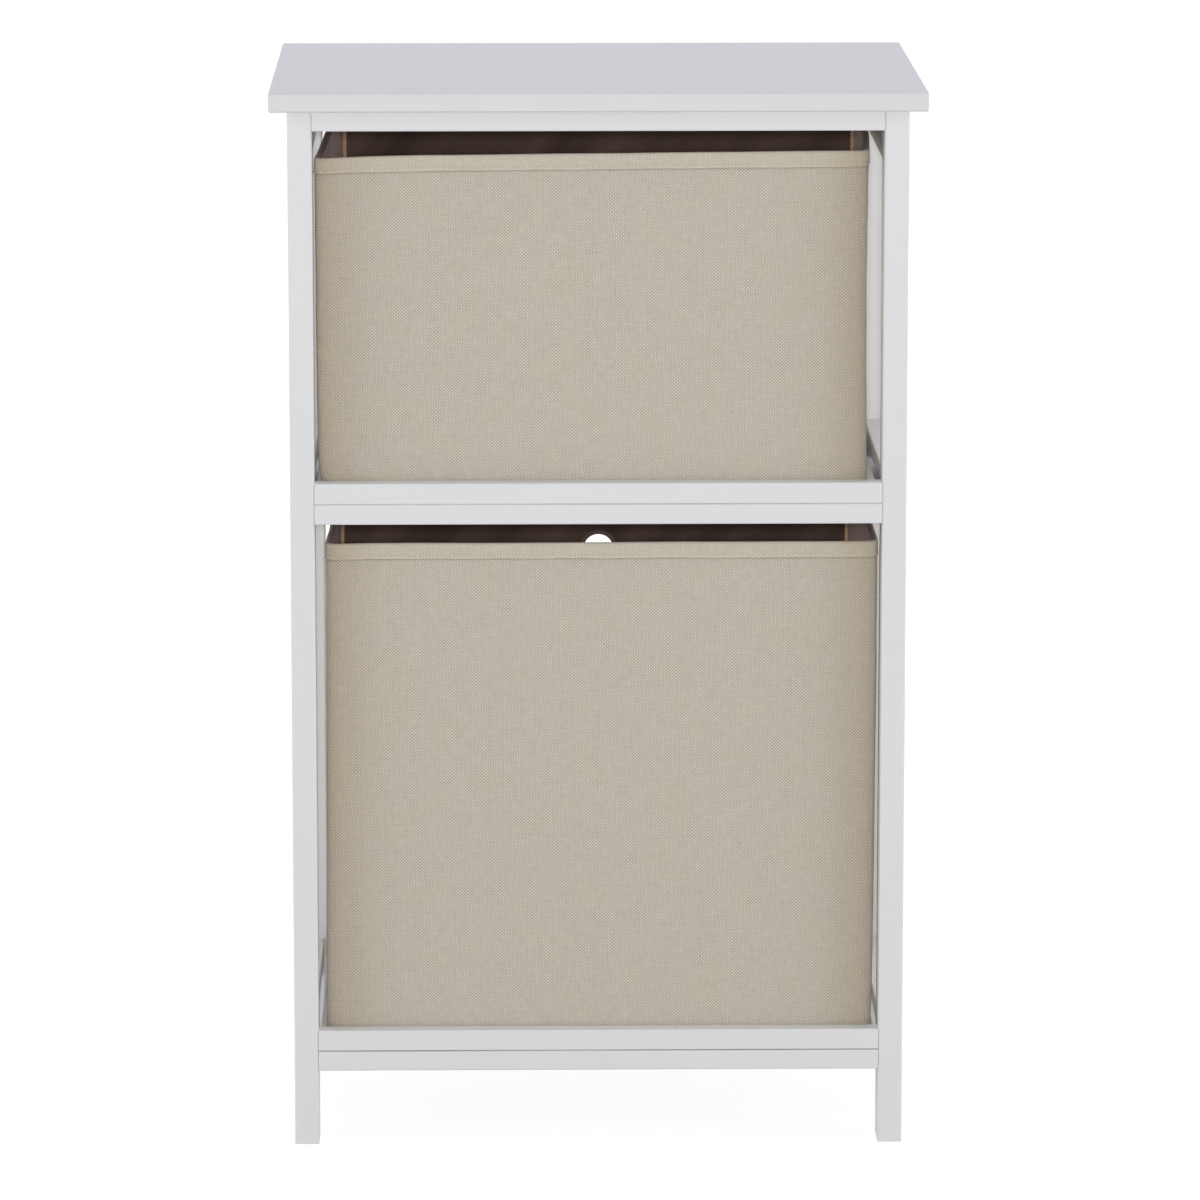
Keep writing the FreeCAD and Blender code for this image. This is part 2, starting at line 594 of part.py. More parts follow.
    # the finger hole's edging is a cloth tube turned over both faces of the front wall
    flange = "(sizes.finger_hole_radius + sizes.edging_flange)"
    spool_length = f"({WALL} + 2 * sizes.edging_thickness)"
    outside = [hole_x, f"{DRAWER_FRONT_Y} + sizes.edging_thickness", hole_z]
    wall_face = [hole_x, DRAWER_FRONT_Y, hole_z]
    spool_blank = peg(f"{name}_edging_blank", flange, spool_length, -ALONG_Y, outside,
                      EDGING_SIDES)
    bore = peg(f"{name}_edging_bore", "sizes.finger_hole_radius - sizes.edging_thickness",
               spool_length, -ALONG_Y, outside, EDGING_SIDES)
    waist_blank = peg(f"{name}_edging_waist_blank", f"{flange} + sizes.cut_overrun", WALL,
                      -ALONG_Y, wall_face, EDGING_SIDES)
    waist_core = peg(f"{name}_edging_waist_core", "sizes.finger_hole_radius", WALL,
                     -ALONG_Y, wall_face, EDGING_SIDES)
    waist = cut(f"{name}_edging_waist", waist_blank, waist_core)
    spool = cut(f"{name}_edging_spool", spool_blank, waist)
    finish_piece(cut(f"{name}_hole_edging", spool, bore), f"{name}_hole_edging")


grooves = []
SHELF_TOP_RISE = "sizes.cross_rail_height + sizes.shelf_thickness + sizes.drawer_running_gap"
for name, level, level_above in (("upper_drawer", "middle", "top"),
                                 ("lower_drawer", "bottom", "middle")):
    floor = f"({CROSS_RAIL_LEVELS[level]} + {SHELF_TOP_RISE})"
    height = f"({CROSS_RAIL_LEVELS[level_above]} - {floor} - sizes.{name}_top_clearance)"
    drawer(name, floor, height, f"sizes.{name}_shift")

doc.recompute()

for item in doc.Objects:
    if "Invalid" in item.State or "Error" in item.State:
        raise RuntimeError(f"{item.Name} did not build: {item.State}")
for node in nodes:
    if node.Shape.isNull() or not node.Shape.isValid() or not node.Shape.Solids:
        raise RuntimeError(f"{node.Label} has no valid solid")
for binding, groove in grooves:
    if binding.Shape.Volume >= groove.BaseFeature.Shape.Volume:
        raise RuntimeError(f"{groove.Name} cuts nothing")

os.makedirs("parts", exist_ok=True)
for node in nodes:
    node.Shape.exportStep(os.path.join("parts", f"{node.Label}.step"))
print(f"{len(nodes)} sub-parts, {sum(len(node.Shape.Solids) for node in nodes)} solids")
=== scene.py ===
"""A two-drawer storage unit: a white painted wooden frame with two sewn fabric drawers."""

import math
import random
from dataclasses import dataclass

import bmesh
import bpy
from mathutils import Matrix, Vector, noise


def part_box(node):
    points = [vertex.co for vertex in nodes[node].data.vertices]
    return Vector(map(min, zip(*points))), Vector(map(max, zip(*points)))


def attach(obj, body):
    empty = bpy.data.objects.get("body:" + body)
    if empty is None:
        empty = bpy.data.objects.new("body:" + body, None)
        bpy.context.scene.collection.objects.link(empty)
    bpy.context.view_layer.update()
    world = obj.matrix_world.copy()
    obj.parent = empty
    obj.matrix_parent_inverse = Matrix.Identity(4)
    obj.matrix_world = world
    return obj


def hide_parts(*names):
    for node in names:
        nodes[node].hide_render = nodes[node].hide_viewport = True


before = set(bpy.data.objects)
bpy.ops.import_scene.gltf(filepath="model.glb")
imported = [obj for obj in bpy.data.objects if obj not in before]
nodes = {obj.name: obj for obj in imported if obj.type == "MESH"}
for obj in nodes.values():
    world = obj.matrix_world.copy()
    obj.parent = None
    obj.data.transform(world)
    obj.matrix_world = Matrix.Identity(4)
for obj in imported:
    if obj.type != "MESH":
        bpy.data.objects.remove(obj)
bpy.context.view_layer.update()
MM = 0.001

# The two ladder frames. Each is a pair of 15 x 28 mm legs with three side rails glued between
# them on dowels; the wood is sanded at the edges, primed and sprayed satin white, which leaves
# a faint orange peel over a trace of the grain.


def srgb(red, green, blue):
    """A colour as it is seen, 0 to 255, in the linear values that a shader takes."""
    shares = (channel / 255 for channel in (red, green, blue))
    return (*((s / 12.92 if s <= 0.04045 else ((s + 0.055) / 1.055) ** 2.4) for s in shares), 1.0)


def add_node(tree, kind, inputs=(), **settings):
    """Adds a shader node; inputs gives sockets, by name or number, a value or a link."""
    node = tree.nodes.new(f"ShaderNode{kind}")
    for name, value in settings.items():
        setattr(node, name, value)
    for socket, value in dict(inputs).items():
        if isinstance(value, bpy.types.NodeSocket):
            tree.links.new(value, node.inputs[socket])
        else:
            node.inputs[socket].default_value = value
    return node


def calc(tree, operation, *values):
    """One Math node; returns the socket with its result."""
    return add_node(tree, "Math", dict(enumerate(values)), operation=operation).outputs[0]


def linear(tree, value, factor, offset):
    return calc(tree, "MULTIPLY_ADD", value, factor, offset)


def fractal(tree, vector, scale, detail=3.0, roughness=0.5):
    """One Noise Texture node; returns the socket with its value."""
    inputs = {"Vector": vector, "Scale": scale, "Detail": detail, "Roughness": roughness}
    return add_node(tree, "TexNoise", inputs).outputs["Fac"]


def scaled(tree, vector, factors):
    """A vector or a colour times one factor for each of its channels."""
    inputs = {0: vector, 1: factors}
    return add_node(tree, "VectorMath", inputs, operation="MULTIPLY").outputs[0]


def effect_group(name, inputs, outputs):
    """An empty node group with the named sockets, ready to be wired."""
    tree = bpy.data.node_groups.new(name, "ShaderNodeTree")
    for direction, sockets in (("INPUT", inputs), ("OUTPUT", outputs)):
        for label, kind in sockets.items():
            tree.interface.new_socket(label, in_out=direction, socket_type=f"NodeSocket{kind}")
    given = tree.nodes.new("NodeGroupInput")
    result = tree.nodes.new("NodeGroupOutput")
    return tree, given.outputs, result.inputs


def new_material(name, **shader_values):
    """A material with one Principled BSDF; returns it, its tree and that shader."""
    material = bpy.data.materials.new(name)
    material.use_nodes = True
    shader = material.node_tree.nodes["Principled BSDF"]
    for label, value in shader_values.items():
        shader.inputs[label.replace("_", " ")].default_value = value
    return material, material.node_tree, shader


MIX_FIRST, MIX_SECOND, MIX_RESULT = 6, 7, 2  # the Mix node's sockets for colours


def blend_colours(tree, share, first, second):
    inputs = {"Factor": share, MIX_FIRST: first, MIX_SECOND: second}
    return add_node(tree, "Mix", inputs, data_type="RGBA").outputs[MIX_RESULT]


def tint(tree, shader, share, first, second):
    """Gives a shader a colour between two others."""
    tree.links.new(blend_colours(tree, share, first, second), shader.inputs["Base Color"])


def roughen(tree, shader, pattern, swing, least):
    """Lets a shader's roughness follow a pattern, upwards from its least value."""
    tree.links.new(linear(tree, pattern, swing, least), shader.inputs["Roughness"])


def bump(tree, shader, height, distance, strength=1.0):
    inputs = {"Height": height, "Distance": distance, "Strength": strength}
    normal = add_node(tree, "Bump", inputs).outputs["Normal"]
    tree.links.new(normal, shader.inputs["Normal"])


def object_position(tree):
    return add_node(tree, "TexCoord").outputs["Object"]


def facing(tree, axis):
    """How far the surface faces along an axis, from -1 to 1."""
    normal = add_node(tree, "NewGeometry").outputs["Normal"]
    return add_node(tree, "SeparateXYZ", {0: normal}).outputs[axis]


def make_sprayed_paint():
    """Sprayed paint over wood: cloudy thickness, orange peel and a trace of the grain."""
    tree, given, result = effect_group(
        "sprayed_paint",
        {"Position": "Vector", "Grain": "Vector"},
        {"Cloud": "Float", "Roughness": "Float", "Height": "Float"})
    cloud = fractal(tree, given["Position"], 14.0, 2.0)
    grain = fractal(tree, scaled(tree, given["Position"], given["Grain"]), 1.0, 4.0, 0.6)
    peel = fractal(tree, given["Position"], 700.0, 1.0)
    for label, value in (("Cloud", linear(tree, grain, 0.4, calc(tree, "MULTIPLY", cloud, 0.6))),
                         ("Roughness", linear(tree, peel, 0.1, 0.34)),
                         ("Height", linear(tree, grain, 0.55, calc(tree, "MULTIPLY", peel, 0.45)))):
        tree.links.new(value, result[label])
    return tree


sprayed_paint = make_sprayed_paint()
GRAIN_ACROSS = 420.0
GRAIN_ALONG = 14.0
PAINT_THIN = srgb(219, 219, 221)
PAINT_THICK = srgb(224, 224, 226)


def painted_wood(name, axis, thin=PAINT_THIN, thick=PAINT_THICK):
    """Satin paint on wood whose grain runs along the given axis, 0 to 2; gives its colour too."""
    material, tree, shader = new_material(name, Specular_IOR_Level=0.42)
    scales = [GRAIN_ACROSS] * 3
    scales[axis] = GRAIN_ALONG
    effect = add_node(tree, "Group", {"Position": object_position(tree), "Grain": scales},
                      node_tree=sprayed_paint).outputs
    colour = blend_colours(tree, effect["Cloud"], thin, thick)
    tree.links.new(colour, shader.inputs["Base Color"])
    tree.links.new(effect["Roughness"], shader.inputs["Roughness"])
    bump(tree, shader, effect["Height"], 0.06 * MM, 0.5)
    return material, tree, shader, colour


def dress(names, material):
    """Gives frame nodes their finish."""
    for name in names:
        node = nodes[name]
        node.data.materials.clear()
        node.data.materials.append(material)


SIDES = ("left", "right")
ENDS = ("rear", "front")
LEVELS = ("bottom", "middle", "top")

leg_paint = painted_wood("leg_paint", 2)[0]
dress([f"{end}_{side}_leg" for end in ENDS for side in SIDES], leg_paint)
side_rail_paint = painted_wood("side_rail_paint", 1)[0]
dress([f"{side}_{level}_side_rail" for side in SIDES for level in LEVELS],
      side_rail_paint)

# Cross rails and stop strips: 28 x 12.5 mm rails screwed between the two ladder frames, and
# the 12 x 13 mm strips screwed on the rear ones, which stop the drawers. They are painted
# like the legs, with the grain running from side to side. Along the joint of each strip a
# dark line of painted shade is drawn in the paint's colour, for the shade in the groove there.

# Painted shade: a dark line along each stop strip's joint, darker at the bottom strip, broken up by
# noise.
JOINT_SHADE_HALF = 0.1 * MM
JOINT_SHADE_FADE = 0.45 * MM
PAINTED_JOINT_SHADE = srgb(122, 122, 124)
JOINT_SHADE_STRENGTHS = {"bottom": 1.5, "middle": 0.7}

cross_rail_paint, tree, shader, colour = painted_wood("cross_rail_paint", 0)
position = object_position(tree)
height = add_node(tree, "SeparateXYZ", {0: position}).outputs["Z"]
joint_shade = 0.0
for level, depth_share in JOINT_SHADE_STRENGTHS.items():
    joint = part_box(f"{level}_stop_strip")[0].z
    distance = calc(tree, "ABSOLUTE", calc(tree, "SUBTRACT", height, joint))
    line = add_node(tree, "MapRange", {"Value": distance, "From Min": JOINT_SHADE_HALF,
                                       "From Max": JOINT_SHADE_FADE, "To Min": depth_share,
                                       "To Max": 0.0})
    joint_shade = calc(tree, "MAXIMUM", joint_shade, line.outputs[0])
joint_shade = calc(tree, "MULTIPLY", joint_shade, fractal(tree, position, 11.0, 2.0))
tint(tree, shader, joint_shade, colour, PAINTED_JOINT_SHADE)
dress([f"{end}_{level}_rail" for end in ENDS for level in LEVELS],
      cross_rail_paint)
dress([f"{level}_stop_strip" for level in JOINT_SHADE_STRENGTHS], cross_rail_paint)

# Top panel: a 12 mm board of fibreboard with its edges broken, sprayed with the same satin
# white. Its paint is set a shade darker than the legs', painted shade for its edges, which
# catch more light, and its upper face is tinted lighter and slightly violet over that, a
# painted tone set for how the top takes the light.

UPPER_FACE_LIGHT_TINT = (1.03, 0.99, 1.085)
top_paint, tree, shader, colour = painted_wood("top_paint", 0, srgb(212, 212, 214),
                                               srgb(217, 217, 219))
# Painted light: the upper face gets a lighter, violet copy of the edges' colour.
upper_face = calc(tree, "GREATER_THAN", facing(tree, "Z"), 0.8)
tint(tree, shader, upper_face, colour, scaled(tree, colour, UPPER_FACE_LIGHT_TINT))
dress(["top_panel"], top_paint)

# Shelves: 3 mm hardboard, white coated on both faces and tacked down on the rails. The coat
# is matt and shows the pressed board's fine pebble.

hardboard, tree, shader = new_material("coated_hardboard", Specular_IOR_Level=0.3)
position = object_position(tree)
pebble = fractal(tree, position, 520.0, 2.0)
patches = fractal(tree, position, 20.0, 2.0)
tint(tree, shader, patches, srgb(218, 218, 217), srgb(228, 228, 227))
roughen(tree, shader, pebble, 0.12, 0.5)
bump(tree, shader, pebble, 0.08 * MM, 0.5)
dress([f"{level}_shelf" for level in LEVELS[:2]], hardboard)

# Dowels: fluted beech pegs, 6 mm thick, glued between the legs and the side rails. They are
# bare wood and hidden once the joint is closed.

beech, tree, shader = new_material("bare_beech", Roughness=0.6)
along_grain = scaled(tree, object_position(tree), (900.0, 60.0, 900.0))
streak = fractal(tree, along_grain, 1.0, 4.0, 0.6)
tint(tree, shader, streak, srgb(196, 160, 118), srgb(222, 190, 148))
bump(tree, shader, streak, 0.05 * MM, 0.5)
dress(["side_rail_dowels"], beech)

# Screws and tacks: zinc plated steel. The long frame screws sit under their caps; wood screws
# with a cross recess come up through the rails into the top panel and the stop strips, and
# flat-headed tacks hold the shelves.

zinc, tree, shader = new_material("zinc_plate", Metallic=1.0)
bloom = fractal(tree, object_position(tree), 900.0, 3.0)
tint(tree, shader, bloom, srgb(160, 160, 156), srgb(206, 205, 198))
roughen(tree, shader, bloom, 0.25, 0.25)
bump(tree, shader, bloom, 0.02 * MM, 0.4)
dress(["frame_screws"], zinc)
WELD = 0.01 * MM


def turned(profile, segments, axis=Vector((0, 0, 1))):
    """A solid of revolution about an axis through the origin, from (radius, height) points."""
    shape = bmesh.new()
    upright = axis.to_track_quat("Z", "X").to_matrix().to_4x4()
    corners = [shape.verts.new((radius, 0, height)) for radius, height in profile]
    edges = [shape.edges.new(pair) for pair in zip(corners, corners[1:])]
    bmesh.ops.spin(shape, geom=corners + edges, axis=(0, 0, 1), cent=(0, 0, 0),
                   steps=segments, angle=math.tau, use_merge=True)
    bmesh.ops.remove_doubles(shape, verts=shape.verts, dist=0.001 * MM)
    bmesh.ops.recalc_face_normals(shape, faces=shape.faces)
    bmesh.ops.transform(shape, matrix=upright, verts=shape.verts)
    return shape


def shape_of(mesh):
    shape = bmesh.new()
    shape.from_mesh(mesh)
    return shape


def mesh_of(shape, name):
    """Turns a shape into a mesh and frees it."""
    mesh = bpy.data.meshes.new(name)
    shape.to_mesh(mesh)
    shape.free()
    return mesh


def joined(shapes):
    """One shape with everything in the given ones."""
    whole = bmesh.new()
    for shape in shapes:
        mesh = mesh_of(shape, "part")
        whole.from_mesh(mesh)
        bpy.data.meshes.remove(mesh)
    return whole


def copies(shape, places):
    """One shape that holds a copy of the given one at each place, a matrix."""
    moved = [shape.copy() for place in places]
    shape.free()
    for copy, place in zip(moved, places):
        copy.transform(place)
    return joined(moved)


def in_scene(name, data):
    """A new object of the scene."""
    item = bpy.data.objects.new(name, data)
    bpy.context.scene.collection.objects.link(item)
    return item


def new_piece(name, shape, material, body, sharp_angle=40):
    """Turns a shape into a piece that rides on a body."""
    mesh = mesh_of(shape, name)
    mesh.shade_smooth()
    mesh.set_sharp_from_angle(angle=math.radians(sharp_angle))
    mesh.materials.append(material)
    piece = in_scene(name, mesh)
    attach(piece, body)
    return piece


def carved(piece, tool_shape):
    """Cuts a closed shape out of a piece."""
    tool_mesh = mesh_of(tool_shape, "tool")
    tool = in_scene("tool", tool_mesh)
    cutter = piece.modifiers.new("cut", "BOOLEAN")
    cutter.object = tool
    cutter.solver = "EXACT"
    graph = bpy.context.evaluated_depsgraph_get()
    cut_mesh = bpy.data.meshes.new_from_object(piece.evaluated_get(graph))
    piece.modifiers.clear()
    uncut = piece.data
    cut_mesh.name = uncut.name
    piece.data = cut_mesh
    bpy.data.meshes.remove(uncut)
    bpy.data.objects.remove(tool)
    bpy.data.meshes.remove(tool_mesh)


def box_shape(low, high):
    """A plain block between two corners."""
    shape = bmesh.new()
    bmesh.ops.create_cube(shape, size=1.0)
    bmesh.ops.scale(shape, vec=high - low, verts=shape.verts)
    bmesh.ops.translate(shape, vec=(low + high) / 2, verts=shape.verts)
    return shape


SCREW_HEAD = 3.5 * MM
SCREW_HEAD_DEPTH = 2.0 * MM
SCREW_SHANK = 1.7 * MM
SCREW_LENGTH = 21.0 * MM
THREAD_TURNS = 11
THREAD_START = 3.2 * MM
THREAD_END = 18.9 * MM
THREAD_ROOT = 1.19 * MM
RECESS_REACH = 1.925 * MM
RECESS_ARM = 0.3
RECESS_TAPER = 0.45
HEAD_PROUD = 0.05 * MM


def island_boxes(node_name):
    """The low and the high corner of each separate solid in a node, in order of place."""
    shape = shape_of(nodes[node_name].data)
    bmesh.ops.remove_doubles(shape, verts=shape.verts, dist=WELD)
    remaining = set(shape.verts)
    boxes = []
    while remaining:
        island = {remaining.pop()}
        shore = set(island)
        while shore:
            shore = {edge.other_vert(vert) for vert in shore for edge in vert.link_edges} - island
            island |= shore
        remaining -= island
        boxes.append([Vector([pick(vert.co[axis] for vert in island) for axis in range(3)])
                      for pick in (min, max)])
    shape.free()
    return sorted(boxes, key=lambda box: tuple(round(value, 5) for value in box[0]))


def wood_screw():
    """A countersunk screw, its flat head down at the origin and its point up."""
    pitch = (THREAD_END - THREAD_START) / THREAD_TURNS
    profile = [(0, 0), (SCREW_HEAD * 0.94, 0), (SCREW_HEAD, SCREW_HEAD_DEPTH * 0.12),
               (SCREW_SHANK, SCREW_HEAD_DEPTH), (SCREW_SHANK, THREAD_START)]
    for turn in range(THREAD_TURNS):
        level = THREAD_START + turn * pitch
        profile += [(THREAD_ROOT, level + pitch / 4), (SCREW_SHANK, level + pitch / 2),
                    (THREAD_ROOT, level + pitch * 3 / 4)]
    profile.append((0, SCREW_LENGTH))
    return turned(profile, segments=16)


def cross_recess():
    """The tapering cross that a driver fits, at the origin, opening downwards."""
    reach = RECESS_REACH
    arm = reach * RECESS_ARM
    cross = bmesh.new()
    outline = []
    for quarter in range(4):
        turn = Matrix.Rotation(quarter * math.pi / 2, 3, "Z")
        for x, y in ((reach, arm), (arm, arm), (arm, reach)):
            outline.append(cross.verts.new(turn @ Vector((x, y, -reach / 2))))
    mouth = cross.faces.new(outline)
    raised = bmesh.ops.extrude_face_region(cross, geom=[mouth])
    for item in raised["geom"]:
        if isinstance(item, bmesh.types.BMVert):
            item.co = Vector((item.co.x * RECESS_TAPER, item.co.y * RECESS_TAPER, reach / 2))
    bmesh.ops.recalc_face_normals(cross, faces=cross.faces)
    return cross


screw = new_piece("wood_screw", wood_screw(), zinc, "frame")
carved(screw, cross_recess())
for group_name in ("top_panel_screws", "stop_strip_screws"):
    places = [Matrix.Translation(((low.x + high.x) / 2, (low.y + high.y) / 2,
                                  low.z - HEAD_PROUD))
              for low, high in island_boxes(group_name)]
    screws = new_piece(f"{group_name}_cut", copies(shape_of(screw.data), places), zinc,
                       "frame")
    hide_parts(group_name)
bpy.data.objects.remove(screw)

TACK_PROFILE_MM = ((0, 0.12), (1.2, 0.08), (1.9, -0.1), (2.0, -0.35), (1.4, -0.7),
                   (0.7, -0.8), (0.7, -10.0), (0, -12.0))
tack = turned([(out * MM, up * MM) for out, up in TACK_PROFILE_MM], segments=14)
tack_places = [Matrix.Translation(((low.x + high.x) / 2, (low.y + high.y) / 2, high.z))
               for low, high in island_boxes("shelf_tacks")]
tacks = new_piece("shelf_tacks_driven", copies(tack, tack_places), zinc, "frame")
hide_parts("shelf_tacks")

# Screw caps: moulded white plastic discs, 12 mm across and slightly domed, pressed over the
# screw heads on the outer faces of the legs until they are almost flush.

plastic, tree, shader = new_material("moulded_plastic", Specular_IOR_Level=0.5)
position = object_position(tree)
frost = fractal(tree, position, 1500.0, 2.0)
tone = fractal(tree, position, 60.0, 1.0)
tint(tree, shader, tone, srgb(226, 226, 226), srgb(234, 234, 233))
roughen(tree, shader, frost, 0.15, 0.25)
bump(tree, shader, frost, 0.02 * MM, 0.3)

cap_boxes = island_boxes("screw_caps")
CAP_RADIUS = (cap_boxes[0][1].z - cap_boxes[0][0].z) / 2
CAP_HEIGHT = 0.45 * MM
CAP_PROFILE = ((0, 1), (0.45, 0.96), (0.78, 0.78), (0.93, 0.5), (1, 0.15), (1, 0), (0, 0))
cap = turned([(CAP_RADIUS * out, CAP_HEIGHT * up) for out, up in CAP_PROFILE], segments=40)
cap_places = []
for low, high in cap_boxes:
    outward = 1 if low.x > 0 else -1
    seat = Vector((low.x if outward > 0 else high.x, (low.y + high.y) / 2, (low.z + high.z) / 2))
    turn = Matrix.Rotation(outward * math.pi / 2, 4, "Y")
    cap_places.append(Matrix.Translation(seat) @ turn)
caps = new_piece("screw_caps_moulded", copies(cap, cap_places), plastic,
                 "frame", sharp_angle=60)
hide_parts("screw_caps")

# The drawers: boxes sewn from two cloths over loose boards. They are light and never quite
# square: each one stands askew on its shelf, its corners lean in or out by a few millimetres,
# and its walls bulge and sag a little between them.

CORNER_RADIUS = 7 * MM
GATHER_HEIGHT = 11 * MM
SAG_START = 0.55
WAVE_SCALE = 16
WAVE = Vector((0.4, 0.6, 0.35))
RIPPLE_SCALE = 55
RIPPLE = 0.2
RIM_RIPPLE = 0.25
RIM_RIPPLE_REACH = 15 * MM
STILL_SHARE = 1 / 3  # the waves grow from nothing at the foot over this share of the height
noise.seed_set(11)


def between(first, second, share):
    return first * (1 - share) + second * share


def parabola(foot, waist, rim, share):
    """A value that passes through three others at shares of 0, a half and 1."""
    return (foot * (1 - share) * (1 - 2 * share) + 4 * waist * share * (1 - share)
            + rim * share * (2 * share - 1))


@dataclass
class Drawer:
    """A drawer's square shape, and how far, in mm, its cloth has moved out of square.

    Each corner has its shifts to the right at the foot, the waist and the rim.
    """

    body: str
    rear_left: tuple
    rear_right: tuple
    front_left: tuple
    front_right: tuple
    left_bulge: float  # the middle of the left-hand wall's rim goes outwards by this
    right_bulge: float
    rear_tilt: float  # the rear rim rises by this on the right and drops on the left
    corner_sag: float  # the rear left corner of the rim drops by this as well
    foot_gather: float  # the left-hand wall's foot is drawn in by this
    front_rise: float  # the front wall's rim stands higher by this
    seed: int

    def __post_init__(self):
        cover_low, cover_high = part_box(f"{self.body}_cover")
        self.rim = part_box(f"{self.body}_rim_binding")[1].z
        self.floor = cover_low.z
        self.centre = (cover_low + cover_high) / 2
        self.half = (cover_high - cover_low) / 2
        hole_low, hole_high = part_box(f"{self.body}_hole_edging")
        self.hole = (hole_low + hole_high) / 2

    def past_turn(self, point, radius=CORNER_RADIUS):
        """How far a point lies past the start of the rounded corners, outwards on X and Y."""
        offset = point - self.centre
        return Vector([math.copysign(max(0.0, abs(offset[axis]) - self.half[axis] + radius),
                                     offset[axis]) for axis in (0, 1)] + [0.0])

    def outward(self, point):
        """The direction straight out of the drawer's rounded outline at a point near it."""
        return self.past_turn(point).normalized()

    def settled(self, point):
        """Where a point of the square drawer lies once its cloth has settled."""
        across = (point.x - self.centre.x) / self.half.x
        along = (point.y - self.centre.y) / self.half.y
        up = (point.z - self.floor) / (self.rim - self.floor)
        to_right = (1 + across) / 2
        to_front = (1 + along) / 2
        rear, front = (between(parabola(*left, up), parabola(*right, up), to_right)
                       for left, right in ((self.rear_left, self.rear_right),
                                           (self.front_left, self.front_right)))
        arch = up * up * max(0.0, 1 - along * along)
        bulge = arch * between(-self.left_bulge, self.right_bulge, to_right)
        gathered = self.foot_gather * math.exp(-((point.z - self.floor) / GATHER_HEIGHT) ** 2)
        bulge += gathered * max(0.0, -across)
        sag = max(0.0, (-across - SAG_START) / (1 - SAG_START)) ** 2
        drop = self.corner_sag * sag - self.rear_tilt * across
        moved = Vector((between(rear, front, to_front) + bulge, 0,
                        up * between(-drop, self.front_rise, to_front)))
        wave = noise.noise_vector(Vector(point) * WAVE_SCALE + Vector((self.seed, 0, 0))) * WAVE
        ripple = noise.noise_vector(Vector(point) * RIPPLE_SCALE + Vector((0, self.seed, 0)))
        ripple *= RIPPLE + RIM_RIPPLE * math.exp((point.z - self.rim) / RIM_RIPPLE_REACH)
        strength = min(1.0, up / STILL_SHARE)
        moved += strength * Vector((wave.x + ripple.x, wave.y + ripple.y, wave.z * up))
        return Vector(point) + moved * MM

    def settle(self, points):
        """Moves the vertices of a shape or of a mesh to where they lie once settled."""
        for point in points:
            point.co = self.settled(point.co)


upper = Drawer("upper_drawer", rear_left=(-3.2, -4.6, -4.3), rear_right=(-3.2, -4.5, -3.9),
               front_left=(3.0, 4.1, 4.1), front_right=(3.0, 4.1, 4.1), left_bulge=0.6,
               right_bulge=2.6, rear_tilt=1.5, corner_sag=1.5, foot_gather=2.4, front_rise=0.0,
               seed=11)
lower = Drawer("lower_drawer", rear_left=(-2.2, -1.0, -0.4), rear_right=(0.5, 2.4, 2.6),
               front_left=(-0.5, -0.5, -0.5), front_right=(-0.3, 1.0, 1.5), left_bulge=-1.5,
               right_bulge=0.3, rear_tilt=0.3, corner_sag=0.4, foot_gather=0.3, front_rise=2.0,
               seed=47)
drawers = (upper, lower)

# The boards: five pieces of grey-brown board in each drawer, a base and four walls, which the
# two cloths are sewn round. They stop short of the corners, so only the cloth turns there.

board, tree, shader = new_material("pressed_board", Roughness=0.85, Specular_IOR_Level=0.2)
fibre = fractal(tree, scaled(tree, object_position(tree), (1.0, 1.0, 2.5)), 420.0, 4.0, 0.65)
tint(tree, shader, fibre, srgb(150, 132, 108), srgb(186, 168, 142))
bump(tree, shader, fibre, 0.08 * MM, 0.5)


def score(shape, axis, level):
    """Cuts the faces of a shape along the plane at a level on an axis, and leaves them joined."""
    normal = Vector([float(axis == other) for other in range(3)])
    bmesh.ops.bisect_plane(shape, geom=shape.verts[:] + shape.edges[:] + shape.faces[:],
                           plane_co=normal * level, plane_no=normal, dist=WELD)


def ruled(shape, spacing, low, high):
    """Cuts a shape by even planes across each axis, so that it can bend."""
    for axis in range(3):
        count = max(1, round((high[axis] - low[axis]) / spacing))
        for step in range(1, count):
            score(shape, axis, low[axis] + (high[axis] - low[axis]) * step / count)


def upright_edges(shape):
    return [edge for edge in shape.edges
            if abs((edge.verts[0].co - edge.verts[1].co).z) > 0.5 * MM]


def rounded(shape, edges, radius, segments):
    bmesh.ops.bevel(shape, geom=edges, offset=radius, affect="EDGES", segments=segments,
                    profile=0.5, material=-1)


HOLE_RADIUS = 10 * MM
WALL_REACH = 8 * MM


def hole_cutter(drawer):
    """A round bar through the front wall where the finger hole is."""
    place = Matrix.Translation(drawer.hole) @ Matrix.Rotation(math.pi / 2, 4, "X")
    bar = bmesh.new()
    bmesh.ops.create_cone(bar, cap_ends=True, segments=48, radius1=HOLE_RADIUS,
                          radius2=HOLE_RADIUS, depth=2 * WALL_REACH, matrix=place)
    return bar


BOARD_SPACING = 20 * MM
BASE_CORNER = 6 * MM
for drawer in drawers:
    for place in ("base", "left", "right", "rear", "front"):
        node_name = f"{drawer.body}_{place}_board"
        low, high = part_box(node_name)
        shape = box_shape(low, high)
        if place == "base":
            rounded(shape, upright_edges(shape), BASE_CORNER, segments=4)
        ruled(shape, BOARD_SPACING, low, high)
        piece = new_piece(f"{node_name}_cut", shape, board, drawer.body)
        if place == "front":
            carved(piece, hole_cutter(drawer))
        drawer.settle(piece.data.vertices)
        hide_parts(node_name)

# The outer covers: natural linen in a plain weave, about one yarn to the millimetre, sewn at
# the four corners and round the base and pulled over the boards.


